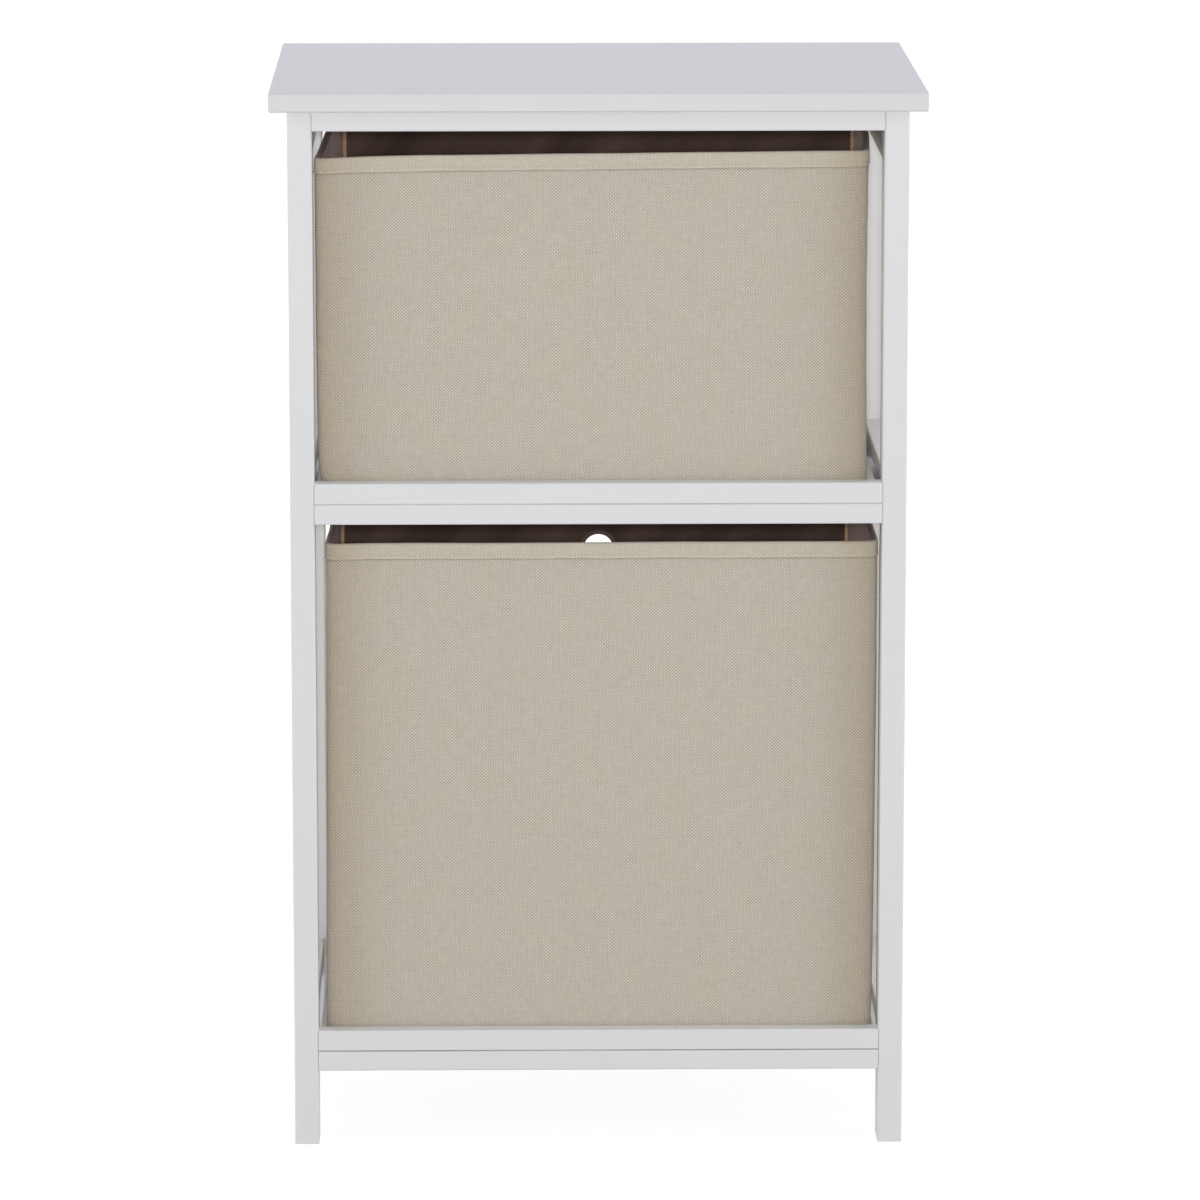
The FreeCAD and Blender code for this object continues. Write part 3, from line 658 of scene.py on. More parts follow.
def make_plain_weave():
    """A plain weave on a cloth's own coordinates, in metres: yarns over and under each other."""
    tree, given, result = effect_group(
        "plain_weave",
        {"Cloth": "Vector", "Warp Pitch": "Float", "Weft Pitch": "Float"},
        {"Height": "Float", "Warp": "Float", "Yarn": "Float"})
    drift = add_node(tree, "TexNoise", {"Vector": given["Cloth"], "Scale": 130.0, "Detail": 2.0})
    offset = add_node(tree, "SeparateXYZ", {0: drift.outputs["Color"]})
    place = add_node(tree, "SeparateXYZ", {0: given["Cloth"]})
    yarns = []
    for axis, pitch in (("X", "Warp Pitch"), ("Y", "Weft Pitch")):
        count = calc(tree, "DIVIDE", place.outputs[axis], given[pitch])
        wavy = linear(tree, offset.outputs[axis], 0.7, count)
        number = calc(tree, "FLOOR", wavy)
        swing = calc(tree, "SINE", calc(tree, "MULTIPLY", wavy, math.pi))
        flip = calc(tree, "COSINE", calc(tree, "MULTIPLY", number, math.pi))
        body = calc(tree, "POWER", calc(tree, "ABSOLUTE", swing), 0.6)
        own_shade = add_node(tree, "TexWhiteNoise", {"W": number}, noise_dimensions="1D")
        yarns.append((swing, flip, body, own_shade.outputs["Value"]))
    heights = []
    for own, other, dip in ((0, 1, 0.32), (1, 0, -0.32)):
        crossing = calc(tree, "MULTIPLY", yarns[own][1], yarns[other][0])
        lift = linear(tree, crossing, dip, 0.68)
        heights.append(calc(tree, "MULTIPLY", yarns[own][2], lift))
    on_top = calc(tree, "GREATER_THAN", *heights)
    warp_shade = calc(tree, "MULTIPLY", on_top, yarns[0][3])
    weft_shade = calc(tree, "MULTIPLY", calc(tree, "SUBTRACT", 1.0, on_top), yarns[1][3])
    for label, value in (("Height", calc(tree, "MAXIMUM", *heights)), ("Warp", on_top),
                         ("Yarn", calc(tree, "ADD", warp_shade, weft_shade))):
        tree.links.new(value, result[label])
    return tree


plain_weave = make_plain_weave()
CLOTH_MAP = "cloth"
LINEN_YARNS = (1.03 * MM, 0.975 * MM)  # from one warp to the next, and from weft to weft
# Marks drawn over the linen's colour: painted shade beside the corners and under the binding, a
# painted highlight along the binding's hem, and the lining's brown on the binding's inner side.
CORNER_SHADE, SHADE_UNDER_BINDING, PAINTED_HEM_HIGHLIGHT, LINED_SIDE = (
    "painted_corner_shade", "painted_shade_under_binding", "hem_highlight", "lined_side")
MARK_TINTS = {CORNER_SHADE: (0.88, 0.85, 0.77), SHADE_UNDER_BINDING: (0.8, 0.78, 0.74),
              PAINTED_HEM_HIGHLIGHT: (1.14, 1.14, 1.15), LINED_SIDE: (0.48, 0.36, 0.375)}


def woven_linen(name, pitches, gap_shade, weft, warp, relief):
    """Linen cloth: painted shade in the weave's gaps, the weft's colour, and the warp's, lighter
    partly as painted light.
    """
    material, tree, shader = new_material(name, Roughness=0.88, Specular_IOR_Level=0.18,
                                          Sheen_Weight=0.1, Sheen_Roughness=0.5)
    cloth = add_node(tree, "UVMap", uv_map=CLOTH_MAP).outputs["UV"]
    weave = add_node(tree, "Group", {"Cloth": cloth, "Warp Pitch": pitches[0],
                                     "Weft Pitch": pitches[1]}, node_tree=plain_weave).outputs
    slubs = fractal(tree, scaled(tree, cloth, (700.0, 130.0, 1.0)), 1.0, 3.0)
    cross_slubs = fractal(tree, scaled(tree, cloth, (110.0, 800.0, 1.0)), 1.0, 3.0)
    uneven = linear(tree, calc(tree, "ADD", slubs, cross_slubs), 1.3, -0.9)
    uneven = linear(tree, weave["Yarn"], 0.1, uneven)
    tension = linear(tree, fractal(tree, cloth, 110.0, 2.0), 2.2, -0.4)
    tension = calc(tree, "MINIMUM", calc(tree, "MAXIMUM", tension, 0.4), 1.0)
    # The warp is lighter than the weft partly in its own colour and partly as painted light, for
    # how light falls on the yarns by their direction.
    centred = calc(tree, "SUBTRACT", weave["Warp"], 0.5)
    yarn = blend_colours(tree, linear(tree, centred, tension, 0.5), weft, warp)
    yarn = blend_colours(tree, uneven, scaled(tree, yarn, (0.84, 0.84, 0.84)), yarn)
    patches = fractal(tree, cloth, 36.0, 3.0, 0.6)
    hue = linear(tree, patches, 3.0, -1.0)
    greener = scaled(tree, yarn, (1.005, 1.0, 0.975))
    pinker = scaled(tree, yarn, (1.01, 0.995, 1.015))
    yarn = blend_colours(tree, hue, greener, pinker)
    # Painted shade: the colour sinks towards the gap colour where the weave is low.
    raised = calc(tree, "MULTIPLY", weave["Height"], 1.45)
    yarn = blend_colours(tree, raised, gap_shade, yarn)
    for mark, factors in MARK_TINTS.items():
        marked = add_node(tree, "Attribute", attribute_name=mark).outputs["Fac"]
        yarn = blend_colours(tree, marked, yarn, scaled(tree, yarn, factors))
    tree.links.new(yarn, shader.inputs["Base Color"])
    bump(tree, shader, weave["Height"], relief, 0.7)
    return material


# How far the painted shade beside each corner reaches; it darkens and browns the cloth there, for
# the shade the legs cast on its edges.
CORNER_SHADE_REACH = 16 * MM


def map_cloth(shape, drawer, radius):
    """Lays the cloth's own coordinates, in metres, on each wall panel and on the base.

    It also marks how near each point is to a corner, where the cloth is given painted shade, darker
    and browner.
    """
    layer = shape.loops.layers.uv.new(CLOTH_MAP)
    # Painted shade: each point's share of the darker, browner corner tint.
    seam = shape.verts.layers.float.new(CORNER_SHADE)
    straight = [drawer.half[axis] - radius for axis in (0, 1)]
    for vert in shape.verts:
        offset = vert.co - drawer.centre
        distance = drawer.half.x
        if drawer.past_turn(vert.co, radius).length:
            distance = min(abs(straight[axis] - abs(offset[axis])) for axis in (0, 1)
                           if abs(offset[1 - axis]) > straight[1 - axis])
        vert[seam] = math.exp(-distance / CORNER_SHADE_REACH)
    for face in shape.faces:
        turn = drawer.past_turn(face.calc_center_median(), radius)
        side = 0 if abs(turn.x) > abs(turn.y) else 1
        for loop in face.loops:
            offset = loop.vert.co - drawer.centre
            if abs(face.normal.z) > 0.8:
                loop[layer].uv = offset.xy
                continue
            turn = drawer.past_turn(loop.vert.co, radius)
            bend = radius * math.atan2(abs(turn[1 - side]), max(abs(turn[side]), WELD))
            run = min(abs(offset[1 - side]), straight[1 - side]) + bend
            loop[layer].uv = (math.copysign(run, offset[1 - side]), loop.vert.co.z)


SEAM_DROP = 10.1 * MM
SEAM_DEPTH = 0.2 * MM
SEAM_WIDTH = 0.8 * MM
SEAM_SHADE_WIDTH = 0.45 * MM
SEAM_ROWS = (-1.0, -0.5, 0.0, 0.5, 1.0)
COVER_FOOT_RADIUS = 1.6 * MM
LINING_FOOT_RADIUS = 1.2 * MM


def sewn_box(low, high, corner_radius, foot_radius, thickness):
    """An open-topped box of cloth with rounded corners, its thickness inside the given size."""
    shape = box_shape(low, high)
    top = [face for face in shape.faces if face.normal.z > 0.5]
    bmesh.ops.delete(shape, geom=top, context="FACES_ONLY")
    rounded(shape, upright_edges(shape), corner_radius, segments=7)
    foot = [edge for edge in shape.edges
            if all(abs(vert.co.z - low.z) < WELD for vert in edge.verts)]
    rounded(shape, foot, foot_radius, segments=3)
    ruled(shape, CLOTH_SPACING, low, high)
    for rise in SEAM_ROWS:
        score(shape, 2, high.z - SEAM_DROP + rise * MM)
    bmesh.ops.recalc_face_normals(shape, faces=shape.faces)
    if sum(face.normal.dot(face.calc_center_median() - (low + high) / 2)
           for face in shape.faces) < 0:
        bmesh.ops.reverse_faces(shape, faces=shape.faces)
    bmesh.ops.solidify(shape, geom=shape.faces[:], thickness=thickness)
    return shape


def sew(drawer, name, shape, radius, material, replaced):
    """Finishes a cloth box: finger hole, cloth coordinates, settled shape."""
    piece = new_piece(name, shape, material, drawer.body, sharp_angle=60)
    carved(piece, hole_cutter(drawer))
    cloth = shape_of(piece.data)
    map_cloth(cloth, drawer, radius)
    # Painted shade: a thin dark line in the cloth's colour just under the binding's lower edge.
    shade = cloth.verts.layers.float.new(SHADE_UNDER_BINDING)
    for vert in cloth.verts:
        below = drawer.rim - SEAM_DROP - vert.co.z
        vert[shade] = math.exp(-(below / SEAM_SHADE_WIDTH) ** 2)
        vert.co -= drawer.outward(vert.co) * SEAM_DEPTH * math.exp(-(below / SEAM_WIDTH) ** 2)
    drawer.settle(cloth.verts)
    cloth.to_mesh(piece.data)
    cloth.free()
    piece.data.shade_smooth()
    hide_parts(replaced)


linen = woven_linen("linen", LINEN_YARNS, srgb(148, 138, 122), srgb(182, 173, 158),
                    srgb(234, 227, 215), 0.35 * MM)
CLOTH_SPACING = 5 * MM
COVER_THICKNESS = 0.8 * MM
for drawer in drawers:
    low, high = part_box(f"{drawer.body}_cover")
    shape = sewn_box(low, high, CORNER_RADIUS, COVER_FOOT_RADIUS, COVER_THICKNESS)
    sew(drawer, f"{drawer.body}_linen_cover", shape, CORNER_RADIUS, linen,
        f"{drawer.body}_cover")

# The linings: a dark brown non-woven cloth, bonded in a fine dimpled pattern and a little
# creased, sewn inside each cover over the boards. The side panels are painted paler, painted
# light for the light that falls on them from the sides, and the creases are painted darker and
# lighter as painted shade.

SIDE_PANEL_PAINTED_LIGHT = (2.0, 1.95, 2.0)
lining_cloth, tree, shader = new_material("brown_nonwoven", Roughness=0.9,
                                          Specular_IOR_Level=0.1, Sheen_Weight=0.8,
                                          Sheen_Roughness=0.4, Sheen_Tint=srgb(200, 178, 172))
cloth = add_node(tree, "UVMap", uv_map=CLOTH_MAP).outputs["UV"]
fibre = fractal(tree, cloth, 1400.0, 4.0, 0.7)
dimples = add_node(tree, "TexVoronoi", {"Vector": cloth, "Scale": 620.0, "Randomness": 0.15})
turned_cloth = add_node(tree, "VectorRotate", {"Vector": cloth, "Angle": math.radians(38)},
                        rotation_type="Z_AXIS").outputs[0]
creases = fractal(tree, scaled(tree, turned_cloth, (46.0, 7.0, 1.0)), 1.0, 2.0, 0.4)
# The creases darken and lighten the colour: painted shade on them, over the fibre's own tone.
shade = linear(tree, creases, 1.3, linear(tree, fibre, 0.4, -0.38))
colour = blend_colours(tree, shade, srgb(80, 64, 58), srgb(130, 108, 97))
# Painted light: the side panels are given a colour twice as light.
side_panel = calc(tree, "POWER", calc(tree, "ABSOLUTE", facing(tree, "X")), 4.0)
tint(tree, shader, side_panel, colour, scaled(tree, colour, SIDE_PANEL_PAINTED_LIGHT))
height = linear(tree, creases, 8.0, linear(tree, dimples.outputs["Distance"], 0.5, fibre))
bump(tree, shader, height, 0.12 * MM, 0.6)

LINING_INSET = 2.3 * MM
LINING_THICKNESS = 0.5 * MM
for drawer in drawers:
    low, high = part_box(f"{drawer.body}_lining")
    radius = CORNER_RADIUS - LINING_INSET
    shape = sewn_box(low, high, radius, LINING_FOOT_RADIUS, LINING_THICKNESS)
    sew(drawer, f"{drawer.body}_brown_lining", shape, radius, lining_cloth,
        f"{drawer.body}_lining")

# The binding: a tape of finer linen, folded over the rim of the cover, the board and the lining
# and sewn through near its lower edges, which stand a little proud of the cloth. A painted
# highlight lightens its outer lower edge.


def round_the_drawer(drawer, inset, spacing):
    """Even stations round a drawer's outline, that far inside it, with their headings."""
    radius = CORNER_RADIUS - inset
    half = complex(drawer.half.x - inset, drawer.half.y - inset)
    sides = (2 * (half.real - radius), 2 * (half.imag - radius)) * 2
    turn = radius * math.pi / 2
    length = sum(sides) + 4 * turn
    spacing = length / round(length / spacing)
    centre = complex(drawer.centre.x, drawer.centre.y)
    start = centre + complex(radius - half.real, -half.imag)
    heading = 1 + 0j
    stations = []
    left_over = 0.0
    for side in sides:
        distance = left_over
        while distance < side + turn:
            if distance < side:
                stations.append((start + heading * distance, heading))
            else:
                swing = complex(math.cos((distance - side) / radius),
                                math.sin((distance - side) / radius))
                hub = start + heading * side + 1j * heading * radius
                stations.append((hub - 1j * heading * swing * radius, heading * swing))
            distance += spacing
        left_over = distance - side - turn
        start += heading * side + (heading + 1j * heading) * radius
        heading *= 1j
    return [(place.real, place.imag, math.atan2(way.imag, way.real))
            for place, way in stations]


BINDING_YARNS = (0.86 * MM, 0.8 * MM)
BINDING_WALL = 2.8 * MM
INNER_LAP = 2.5 * MM
TAPE_THICKNESS = 0.4 * MM
TAPE_HEM = 0.3 * MM
HEM_SWAY = 0.45 * MM
HEM_SWAY_SCALE = 40
HEM_HIGHLIGHT_WIDTH = 0.7 * MM
LINED_SHARE = 0.55
HEM_SHARE = 0.08
CREST_SHARE = 0.42
STITCH_SHARE = 0.17
TAPE_ROW_SHARES = (0.05, 0.11, 0.17, 0.23, 0.32, 0.6)


def folded_tape(drawer, low, high, fold):
    """A tape folded down over a drawer's rim, on the outside and on the inside."""
    shape = box_shape(low, high)
    ends = [face for face in shape.faces if abs(face.normal.z) > 0.5]
    bmesh.ops.delete(shape, geom=ends, context="FACES_ONLY")
    rounded(shape, upright_edges(shape), CORNER_RADIUS + TAPE_THICKNESS, segments=8)
    bmesh.ops.recalc_face_normals(shape, faces=shape.faces)
    bmesh.ops.solidify(shape, geom=shape.faces[:], thickness=fold)
    under = [face for face in shape.faces if face.normal.z < -0.5]
    bmesh.ops.delete(shape, geom=under, context="FACES_ONLY")
    crest = [edge for edge in shape.edges if len(edge.link_faces) == 2
             and all(abs(vert.co.z - high.z) < WELD for vert in edge.verts)
             and {round(face.normal.z) for face in edge.link_faces} == {0, 1}]
    rounded(shape, crest, fold * CREST_SHARE, segments=4)
    inner_hem = high.z - INNER_LAP
    score(shape, 2, inner_hem)
    below = [face for face in shape.faces
             if face.calc_center_median().z < inner_hem
             and drawer.outward(face.calc_center_median()).dot(face.normal) < -0.5]
    bmesh.ops.delete(shape, geom=below, context="FACES")
    ruled(shape, CLOTH_SPACING, low, Vector((high.x, high.y, low.z)))
    for share in TAPE_ROW_SHARES:
        score(shape, 2, low.z + (high.z - low.z) * share)
    hem_highlight = shape.verts.layers.float.new(PAINTED_HEM_HIGHLIGHT)
    lined_side = shape.verts.layers.float.new(LINED_SIDE)
    for vert in shape.verts:
        reach = (vert.co.z - low.z) / (high.z - low.z)
        depth = CORNER_RADIUS - drawer.past_turn(vert.co).length
        leaf = 1 if depth < BINDING_WALL / 2 else -1
        # Painted highlight: the tape is lighter along its lower edge.
        vert[hem_highlight] = math.exp(-((vert.co.z - low.z) / HEM_HIGHLIGHT_WIDTH) ** 2)
        vert[lined_side] = float(depth > BINDING_WALL * LINED_SHARE)
        swell = math.exp(-(reach / HEM_SHARE) ** 2)
        groove = math.exp(-((reach - STITCH_SHARE) / HEM_SHARE) ** 2)
        vert.co += drawer.outward(vert.co) * leaf * TAPE_HEM * (swell - groove)
        sway = noise.noise(vert.co * HEM_SWAY_SCALE + Vector((drawer.seed, drawer.seed, 0)))
        vert.co.z += (1 - reach) * sway * HEM_SWAY
    return shape


STITCH_LENGTH = 2.9 * MM
STITCH_STEP = 3.5 * MM
THREAD_RADIUS = 0.2 * MM
STITCH_TILT = 0.06


def sewing_thread(name, dark, light):
    material, tree, shader = new_material(name, Roughness=0.7, Specular_IOR_Level=0.3,
                                          Sheen_Weight=0.1, Sheen_Roughness=0.4)
    position = object_position(tree)
    twist = add_node(tree, "TexWave", {"Vector": position, "Scale": 900.0, "Distortion": 2.0},
                     bands_direction="DIAGONAL").outputs["Fac"]
    fuzz = fractal(tree, position, 2500.0, 2.0)
    tint(tree, shader, calc(tree, "MULTIPLY", twist, fuzz), light, dark)
    bump(tree, shader, twist, 0.05 * MM, 0.6)
    return material


def stitch(length, radius):
    """One stitch of thread, along X, its ends going down into the cloth."""
    half = length / 2
    profile = [(0, -half), (radius * 0.7, -half * 0.92), (radius, -half * 0.6),
               (radius, half * 0.6), (radius * 0.7, half * 0.92), (0, half)]
    return turned(profile, segments=6, axis=Vector((1, 0, 0)))


def row_of_stitches(drawer, inset, level):
    """Stitches round a drawer at a level, on the face that far inside its outline."""
    places = []
    for x, y, heading in round_the_drawer(drawer, inset, STITCH_STEP):
        place = drawer.settled(Vector((x, y, level)))
        tilt = random.uniform(-STITCH_TILT, STITCH_TILT)
        places.append(Matrix.Translation(place) @ Matrix.Rotation(heading, 4, "Z")
                      @ Matrix.Rotation(tilt, 4, "Y"))
    return copies(stitch(STITCH_LENGTH, THREAD_RADIUS), places)


random.seed(5)
binding_linen = woven_linen("binding_linen", BINDING_YARNS, srgb(156, 146, 126),
                            srgb(196, 187, 171), srgb(230, 223, 208), 0.2 * MM)
linen_thread = sewing_thread("linen_thread", srgb(196, 186, 166), srgb(232, 224, 208))
brown_thread = sewing_thread("brown_thread", srgb(70, 56, 50), srgb(112, 94, 86))
for drawer in drawers:
    low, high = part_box(f"{drawer.body}_rim_binding")
    fold = BINDING_WALL + 2 * TAPE_THICKNESS
    shape = folded_tape(drawer, low, high, fold)
    map_cloth(shape, drawer, CORNER_RADIUS)
    drawer.settle(shape.verts)
    binding = new_piece(f"{drawer.body}_folded_binding", shape, binding_linen,
                        drawer.body, sharp_angle=70)
    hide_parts(f"{drawer.body}_rim_binding")
    level = low.z + (high.z - low.z) * STITCH_SHARE
    for face, inset, thread in (("outer", -TAPE_THICKNESS, linen_thread),
                                ("inner", BINDING_WALL, brown_thread)):
        new_piece(f"{drawer.body}_{face}_stitches", row_of_stitches(drawer, inset, level),
                  thread, drawer.body, sharp_angle=80)

# Corner seams: inside each drawer the lining's four panels meet at the corners, where a narrow
# tan tape covers the raw edges under a zigzag of pale thread.


def corner_tape(drawer, sign_x, sign_y, low_z, high_z, radius):
    """A strip that follows the lining's inner corner, from the floor to the binding."""
    hub = Vector((drawer.centre.x + sign_x * (drawer.half.x - CORNER_RADIUS),
                  drawer.centre.y + sign_y * (drawer.half.y - CORNER_RADIUS), low_z))
    shape = bmesh.new()
    outwards = Vector((sign_x, sign_y, 0)).normalized()
    sweep = TAPE_WIDTH / radius
    first = shape.verts.new(hub + Matrix.Rotation(-sweep / 2, 3, "Z") @ outwards * radius)
    bmesh.ops.spin(shape, geom=[first], axis=(0, 0, 1), cent=hub, steps=4, angle=sweep)
    raised = bmesh.ops.extrude_edge_only(shape, edges=shape.edges[:])
    top = [item for item in raised["geom"] if isinstance(item, bmesh.types.BMVert)]
    bmesh.ops.translate(shape, vec=(0, 0, high_z - low_z), verts=top)
    ruled(shape, CLOTH_SPACING * 2, Vector((0, 0, low_z)), Vector((0, 0, high_z)))
    return shape, hub, outwards


def zigzag(drawer, hub, outwards, low_z, high_z, radius, name):
    """The thread that runs to and fro across a corner tape."""
    curve = bpy.data.curves.new(name, "CURVE")
    curve.dimensions = "3D"
    curve.bevel_depth = ZIGZAG_THREAD
    curve.bevel_resolution = 1
    curve.use_fill_caps = True
    count = round((high_z - low_z) / ZIGZAG_STEP)
    line = curve.splines.new("POLY")
    line.points.add(count)
    swing = ZIGZAG_WIDTH / 2 / radius
    for step, point in enumerate(line.points):
        turn = swing if step % 2 else -swing
        place = hub + Matrix.Rotation(turn, 3, "Z") @ outwards * radius
        place.z = low_z + (high_z - low_z) * step / count
        point.co = (*drawer.settled(place), 1)
    holder = in_scene(name, curve)
    graph = bpy.context.evaluated_depsgraph_get()
    mesh = bpy.data.meshes.new_from_object(holder.evaluated_get(graph))
    bpy.data.objects.remove(holder)
    bpy.data.curves.remove(curve)
    shape = shape_of(mesh)
    bpy.data.meshes.remove(mesh)
    return shape


tan_tape, tree, shader = new_material("seam_tape", Roughness=0.8, Specular_IOR_Level=0.25,
                                      Sheen_Weight=0.1)
ribbed = scaled(tree, object_position(tree), (1800.0, 1800.0, 500.0))
rib = fractal(tree, ribbed, 1.0, 3.0)
tint(tree, shader, rib, srgb(228, 178, 142), srgb(250, 212, 180))
bump(tree, shader, rib, 0.08 * MM, 0.6)

ZIGZAG_THREAD = 0.32 * MM
ZIGZAG_STEP = 0.95 * MM
ZIGZAG_WIDTH = 2.5 * MM
TAPE_WIDTH = 3.2 * MM
CORNER_TAPE_THICKNESS = 0.3 * MM
TAPE_RISE = 0.1 * MM
ZIGZAG_RISE = 0.5 * MM
ABOVE_FLOOR = 4 * MM
BELOW_RIM = 7 * MM
pale_thread = sewing_thread("pale_thread", srgb(226, 206, 182), srgb(250, 238, 222))
for drawer in drawers:
    inner_radius = CORNER_RADIUS - LINING_INSET - LINING_THICKNESS
    low_z = drawer.floor + ABOVE_FLOOR
    high_z = drawer.rim - BELOW_RIM
    tapes, threads = [], []
    for sign_x in (-1, 1):
        for sign_y in (-1, 1):
            shape, hub, outwards = corner_tape(drawer, sign_x, sign_y, low_z, high_z,
                                               inner_radius - TAPE_RISE)
            if next(iter(shape.faces)).normal.dot(outwards) > 0:
                bmesh.ops.reverse_faces(shape, faces=shape.faces)
            bmesh.ops.solidify(shape, geom=shape.faces[:], thickness=CORNER_TAPE_THICKNESS)
            drawer.settle(shape.verts)
            tapes.append(shape)
            threads.append(zigzag(drawer, hub, outwards, low_z, high_z,
                                  inner_radius - ZIGZAG_RISE, f"{drawer.body}_zigzag"))
    new_piece(f"{drawer.body}_corner_tapes", joined(tapes), tan_tape,
              drawer.body)
    new_piece(f"{drawer.body}_zigzag_thread", joined(threads), pale_thread,
              drawer.body, sharp_angle=80)

# Finger-hole edging: a narrow ring of the same linen, turned over the raw edge of the hole in
# each front wall, meeting a turned edge of the lining inside, and sewn down on both faces.

EDGING_THICKNESS = 0.25 * MM
EDGING_HEM = 2.7 * MM
EDGING_FOLD = 0.6 * MM
HOLE_STITCH = 1.9 * MM
HOLE_STITCH_STEP = 2.4 * MM
STITCH_RING_SHARE = 0.66


def hole_edging(drawer, bore, depth):
    """A ring with a groove round it that holds the wall; its inner half is of the lining."""
    rim = bore + EDGING_HEM
    groove = bore + EDGING_THICKNESS
    fold = EDGING_FOLD
    profile = [(bore, 0), (bore, depth - fold), (bore + fold / 3, depth - fold / 3),
               (bore + fold, depth), (rim - fold, depth), (rim, depth - fold / 3),
               (rim, depth - fold), (groove, depth - fold), (groove, 0)]
    ring = turned(profile, segments=64, axis=Vector((0, 1, 0)))
    bmesh.ops.mirror(ring, geom=ring.verts[:] + ring.edges[:] + ring.faces[:], axis="Y",
                     merge_dist=WELD)
    bmesh.ops.remove_doubles(ring, verts=ring.verts, dist=WELD)
    bmesh.ops.recalc_face_normals(ring, faces=ring.faces)
    layer = ring.loops.layers.uv.new(CLOTH_MAP)
    lined_side = ring.verts.layers.float.new(LINED_SIDE)
    for vert in ring.verts:
        vert[lined_side] = float(vert.co.y < 0)
    for face in ring.faces:
        middle = face.calc_center_median()
        for loop in face.loops:
            spot = loop.vert.co
            around = math.atan2(spot.z, spot.x)
            if around < 0 and math.atan2(middle.z, middle.x) > math.pi / 2:
                around += math.tau
            loop[layer].uv = (around * HOLE_RADIUS, math.hypot(spot.x, spot.z) + spot.y)
    bmesh.ops.translate(ring, vec=drawer.hole, verts=ring.verts)
    return ring


def ring_of_stitches(drawer, radius, reach):
    """Stitches in a circle round a finger hole, that far in front of the wall's middle."""
    count = round(math.tau * radius / HOLE_STITCH_STEP)
    places = []
    for step in range(count):
        around = math.tau * step / count
        spot = Vector((radius * math.cos(around), reach, radius * math.sin(around)))
        places.append(Matrix.Translation(drawer.settled(drawer.hole + spot))
                      @ Matrix.Rotation(-around - math.pi / 2, 4, "Y"))
    return copies(stitch(HOLE_STITCH, THREAD_RADIUS), places)


for drawer in drawers:
    low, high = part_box(f"{drawer.body}_hole_edging")
    depth = (high.y - low.y) / 2
    bore = HOLE_RADIUS - EDGING_THICKNESS
    ring = hole_edging(drawer, bore, depth)
    drawer.settle(ring.verts)
    edging = new_piece(f"{drawer.body}_hole_binding", ring, binding_linen,
                       drawer.body, sharp_angle=60)
    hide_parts(f"{drawer.body}_hole_edging")
    for face, reach, thread in (("outer", depth, linen_thread), ("inner", -depth, brown_thread)):
        new_piece(f"{drawer.body}_{face}_hole_stitches",
                  ring_of_stitches(drawer, bore + EDGING_HEM * STITCH_RING_SHARE, reach),
                  thread, drawer.body, sharp_angle=80)

# Studio: a pale floor that reads white to the camera and still holds the unit's soft shadow,
# a white surround, large soft lamps on both sides and behind, and a small one beside the lens.

floor_shape = bmesh.new()
bmesh.ops.create_grid(floor_shape, x_segments=1, y_segments=1, size=40.0)
floor = in_scene("floor", mesh_of(floor_shape, "floor"))
floor_material = bpy.data.materials.new("studio_floor")
floor_material.use_nodes = True
floor_tree = floor_material.node_tree
floor_tree.nodes.clear()


def seen_directly(tree):
    """1 for camera rays and for what gloss and glass show of the surround."""
    path = add_node(tree, "LightPath").outputs
    seen = calc(tree, "MAXIMUM", path["Is Camera Ray"], path["Is Glossy Ray"])
    return calc(tree, "MAXIMUM", seen, path["Is Transmission Ray"])


plain = add_node(floor_tree, "BsdfDiffuse", {"Color": (0.78, 0.78, 0.78, 1)})
shadow_catch = add_node(floor_tree, "BsdfDiffuse", {"Color": (0.2, 0.2, 0.2, 1)})
from_middle = add_node(floor_tree, "VectorMath", {0: object_position(floor_tree)},
                       operation="LENGTH").outputs["Value"]
fade = add_node(floor_tree, "MapRange", {"Value": from_middle, "From Min": 0.5, "From Max": 2.2,
                                         "To Min": 0.9, "To Max": 1.0},
                interpolation_type="SMOOTHSTEP").outputs[0]
glow = add_node(floor_tree, "Emission", {"Color": (1, 1, 1, 1), "Strength": fade})
white = add_node(floor_tree, "AddShader", {0: shadow_catch.outputs[0], 1: glow.outputs[0]})
floor_mix = add_node(floor_tree, "MixShader", {0: seen_directly(floor_tree), 1: plain.outputs[0],
                                               2: white.outputs[0]})
from_below = add_node(floor_tree, "NewGeometry").outputs["Backfacing"]
clear = add_node(floor_tree, "BsdfTransparent")
one_sided = add_node(floor_tree, "MixShader", {0: from_below, 1: floor_mix.outputs[0],
                                               2: clear.outputs[0]})
add_node(floor_tree, "OutputMaterial", {"Surface": one_sided.outputs[0]})
floor.data.materials.append(floor_material)

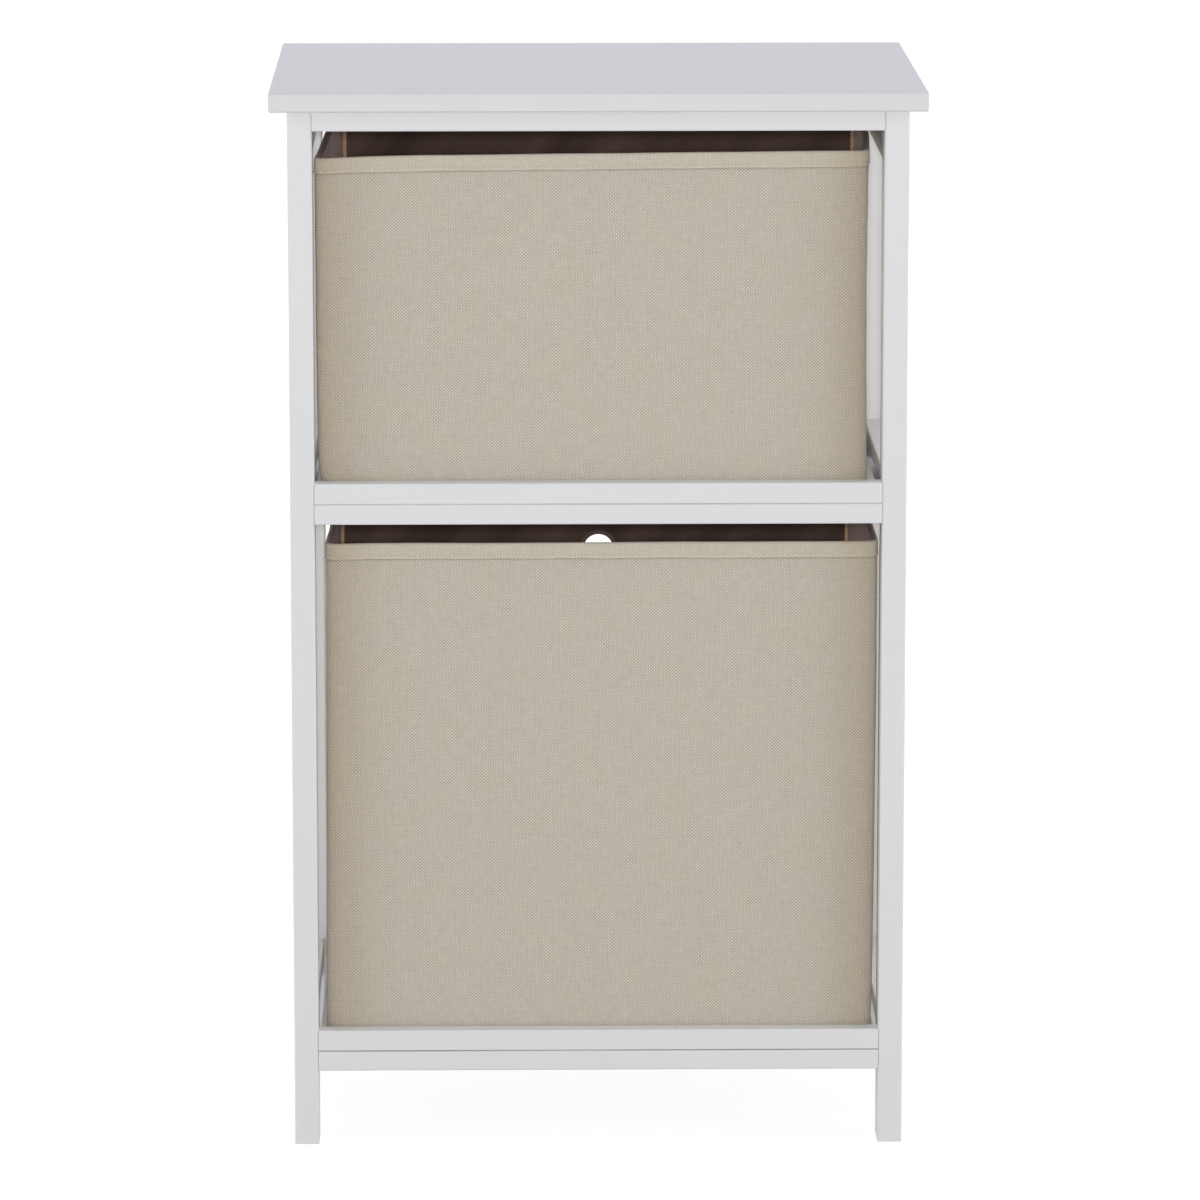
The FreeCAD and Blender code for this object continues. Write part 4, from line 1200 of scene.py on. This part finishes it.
world = bpy.data.worlds.new("studio")
bpy.context.scene.world = world
world.use_nodes = True
world_tree = world.node_tree
world_tree.nodes.clear()
ambient = add_node(world_tree, "Background", {"Color": (0.98, 0.985, 1.0, 1), "Strength": 0.43})
surround = add_node(world_tree, "Background", {"Color": (1, 1, 1, 1), "Strength": 1.0})
world_mix = add_node(world_tree, "MixShader", {0: seen_directly(world_tree),
                                               1: ambient.outputs[0], 2: surround.outputs[0]})
add_node(world_tree, "OutputWorld", {"Surface": world_mix.outputs[0]})


def soft_lamp(name, place, target, size, power, shows_in_gloss=True):
    """A softbox at a place, in metres, that faces a target; its size is width and height."""
    light = bpy.data.lights.new(name, "AREA")
    light.shape = "RECTANGLE"
    light.size, light.size_y = size
    light.energy = power
    lamp = in_scene(name, light)
    lamp.location = place
    lamp.visible_glossy = shows_in_gloss
    lamp.rotation_euler = (Vector(target) - Vector(place)).to_track_quat("-Z", "Y").to_euler()


MIDDLE = (0.0, 0.0, 0.33)
RIM_HEIGHT = (0.0, 0.0, 0.6)
soft_lamp("left_softbox", (-3.9, -1.1, 1.35), MIDDLE, (2.0, 2.0), power=54)
soft_lamp("right_softbox", (3.9, -1.1, 1.35), MIDDLE, (2.0, 2.0), power=64)
soft_lamp("ring_flash", (-0.065, -4.25, 1.13), RIM_HEIGHT, (0.14, 0.14), power=46)
soft_lamp("back_softbox", (0.0, 4.0, 1.6), MIDDLE, (2.4, 2.0), power=92,
          shows_in_gloss=False)

# Camera: a long lens a little left of the middle and above the top panel, as in the
# photograph, tipped down instead of shifted.

EYE = Vector((-0.0647, -4.2135, 1.0983))
YAW = 0.0161
PITCH = -0.183
FOCAL_PIXELS = 6745
FRAME_PIXELS = 1200
camera_data = bpy.data.cameras.new("camera")
camera_data.sensor_width = 36.0
camera_data.lens = camera_data.sensor_width * FOCAL_PIXELS / FRAME_PIXELS
camera_data.clip_end = 200.0
camera = in_scene("camera", camera_data)
camera.location = EYE
ahead = Vector((math.sin(YAW) * math.cos(PITCH), math.cos(YAW) * math.cos(PITCH),
                math.sin(PITCH)))
camera.rotation_euler = ahead.to_track_quat("-Z", "Y").to_euler()
bpy.context.scene.camera = camera
bpy.context.scene.view_settings.view_transform = "Standard"
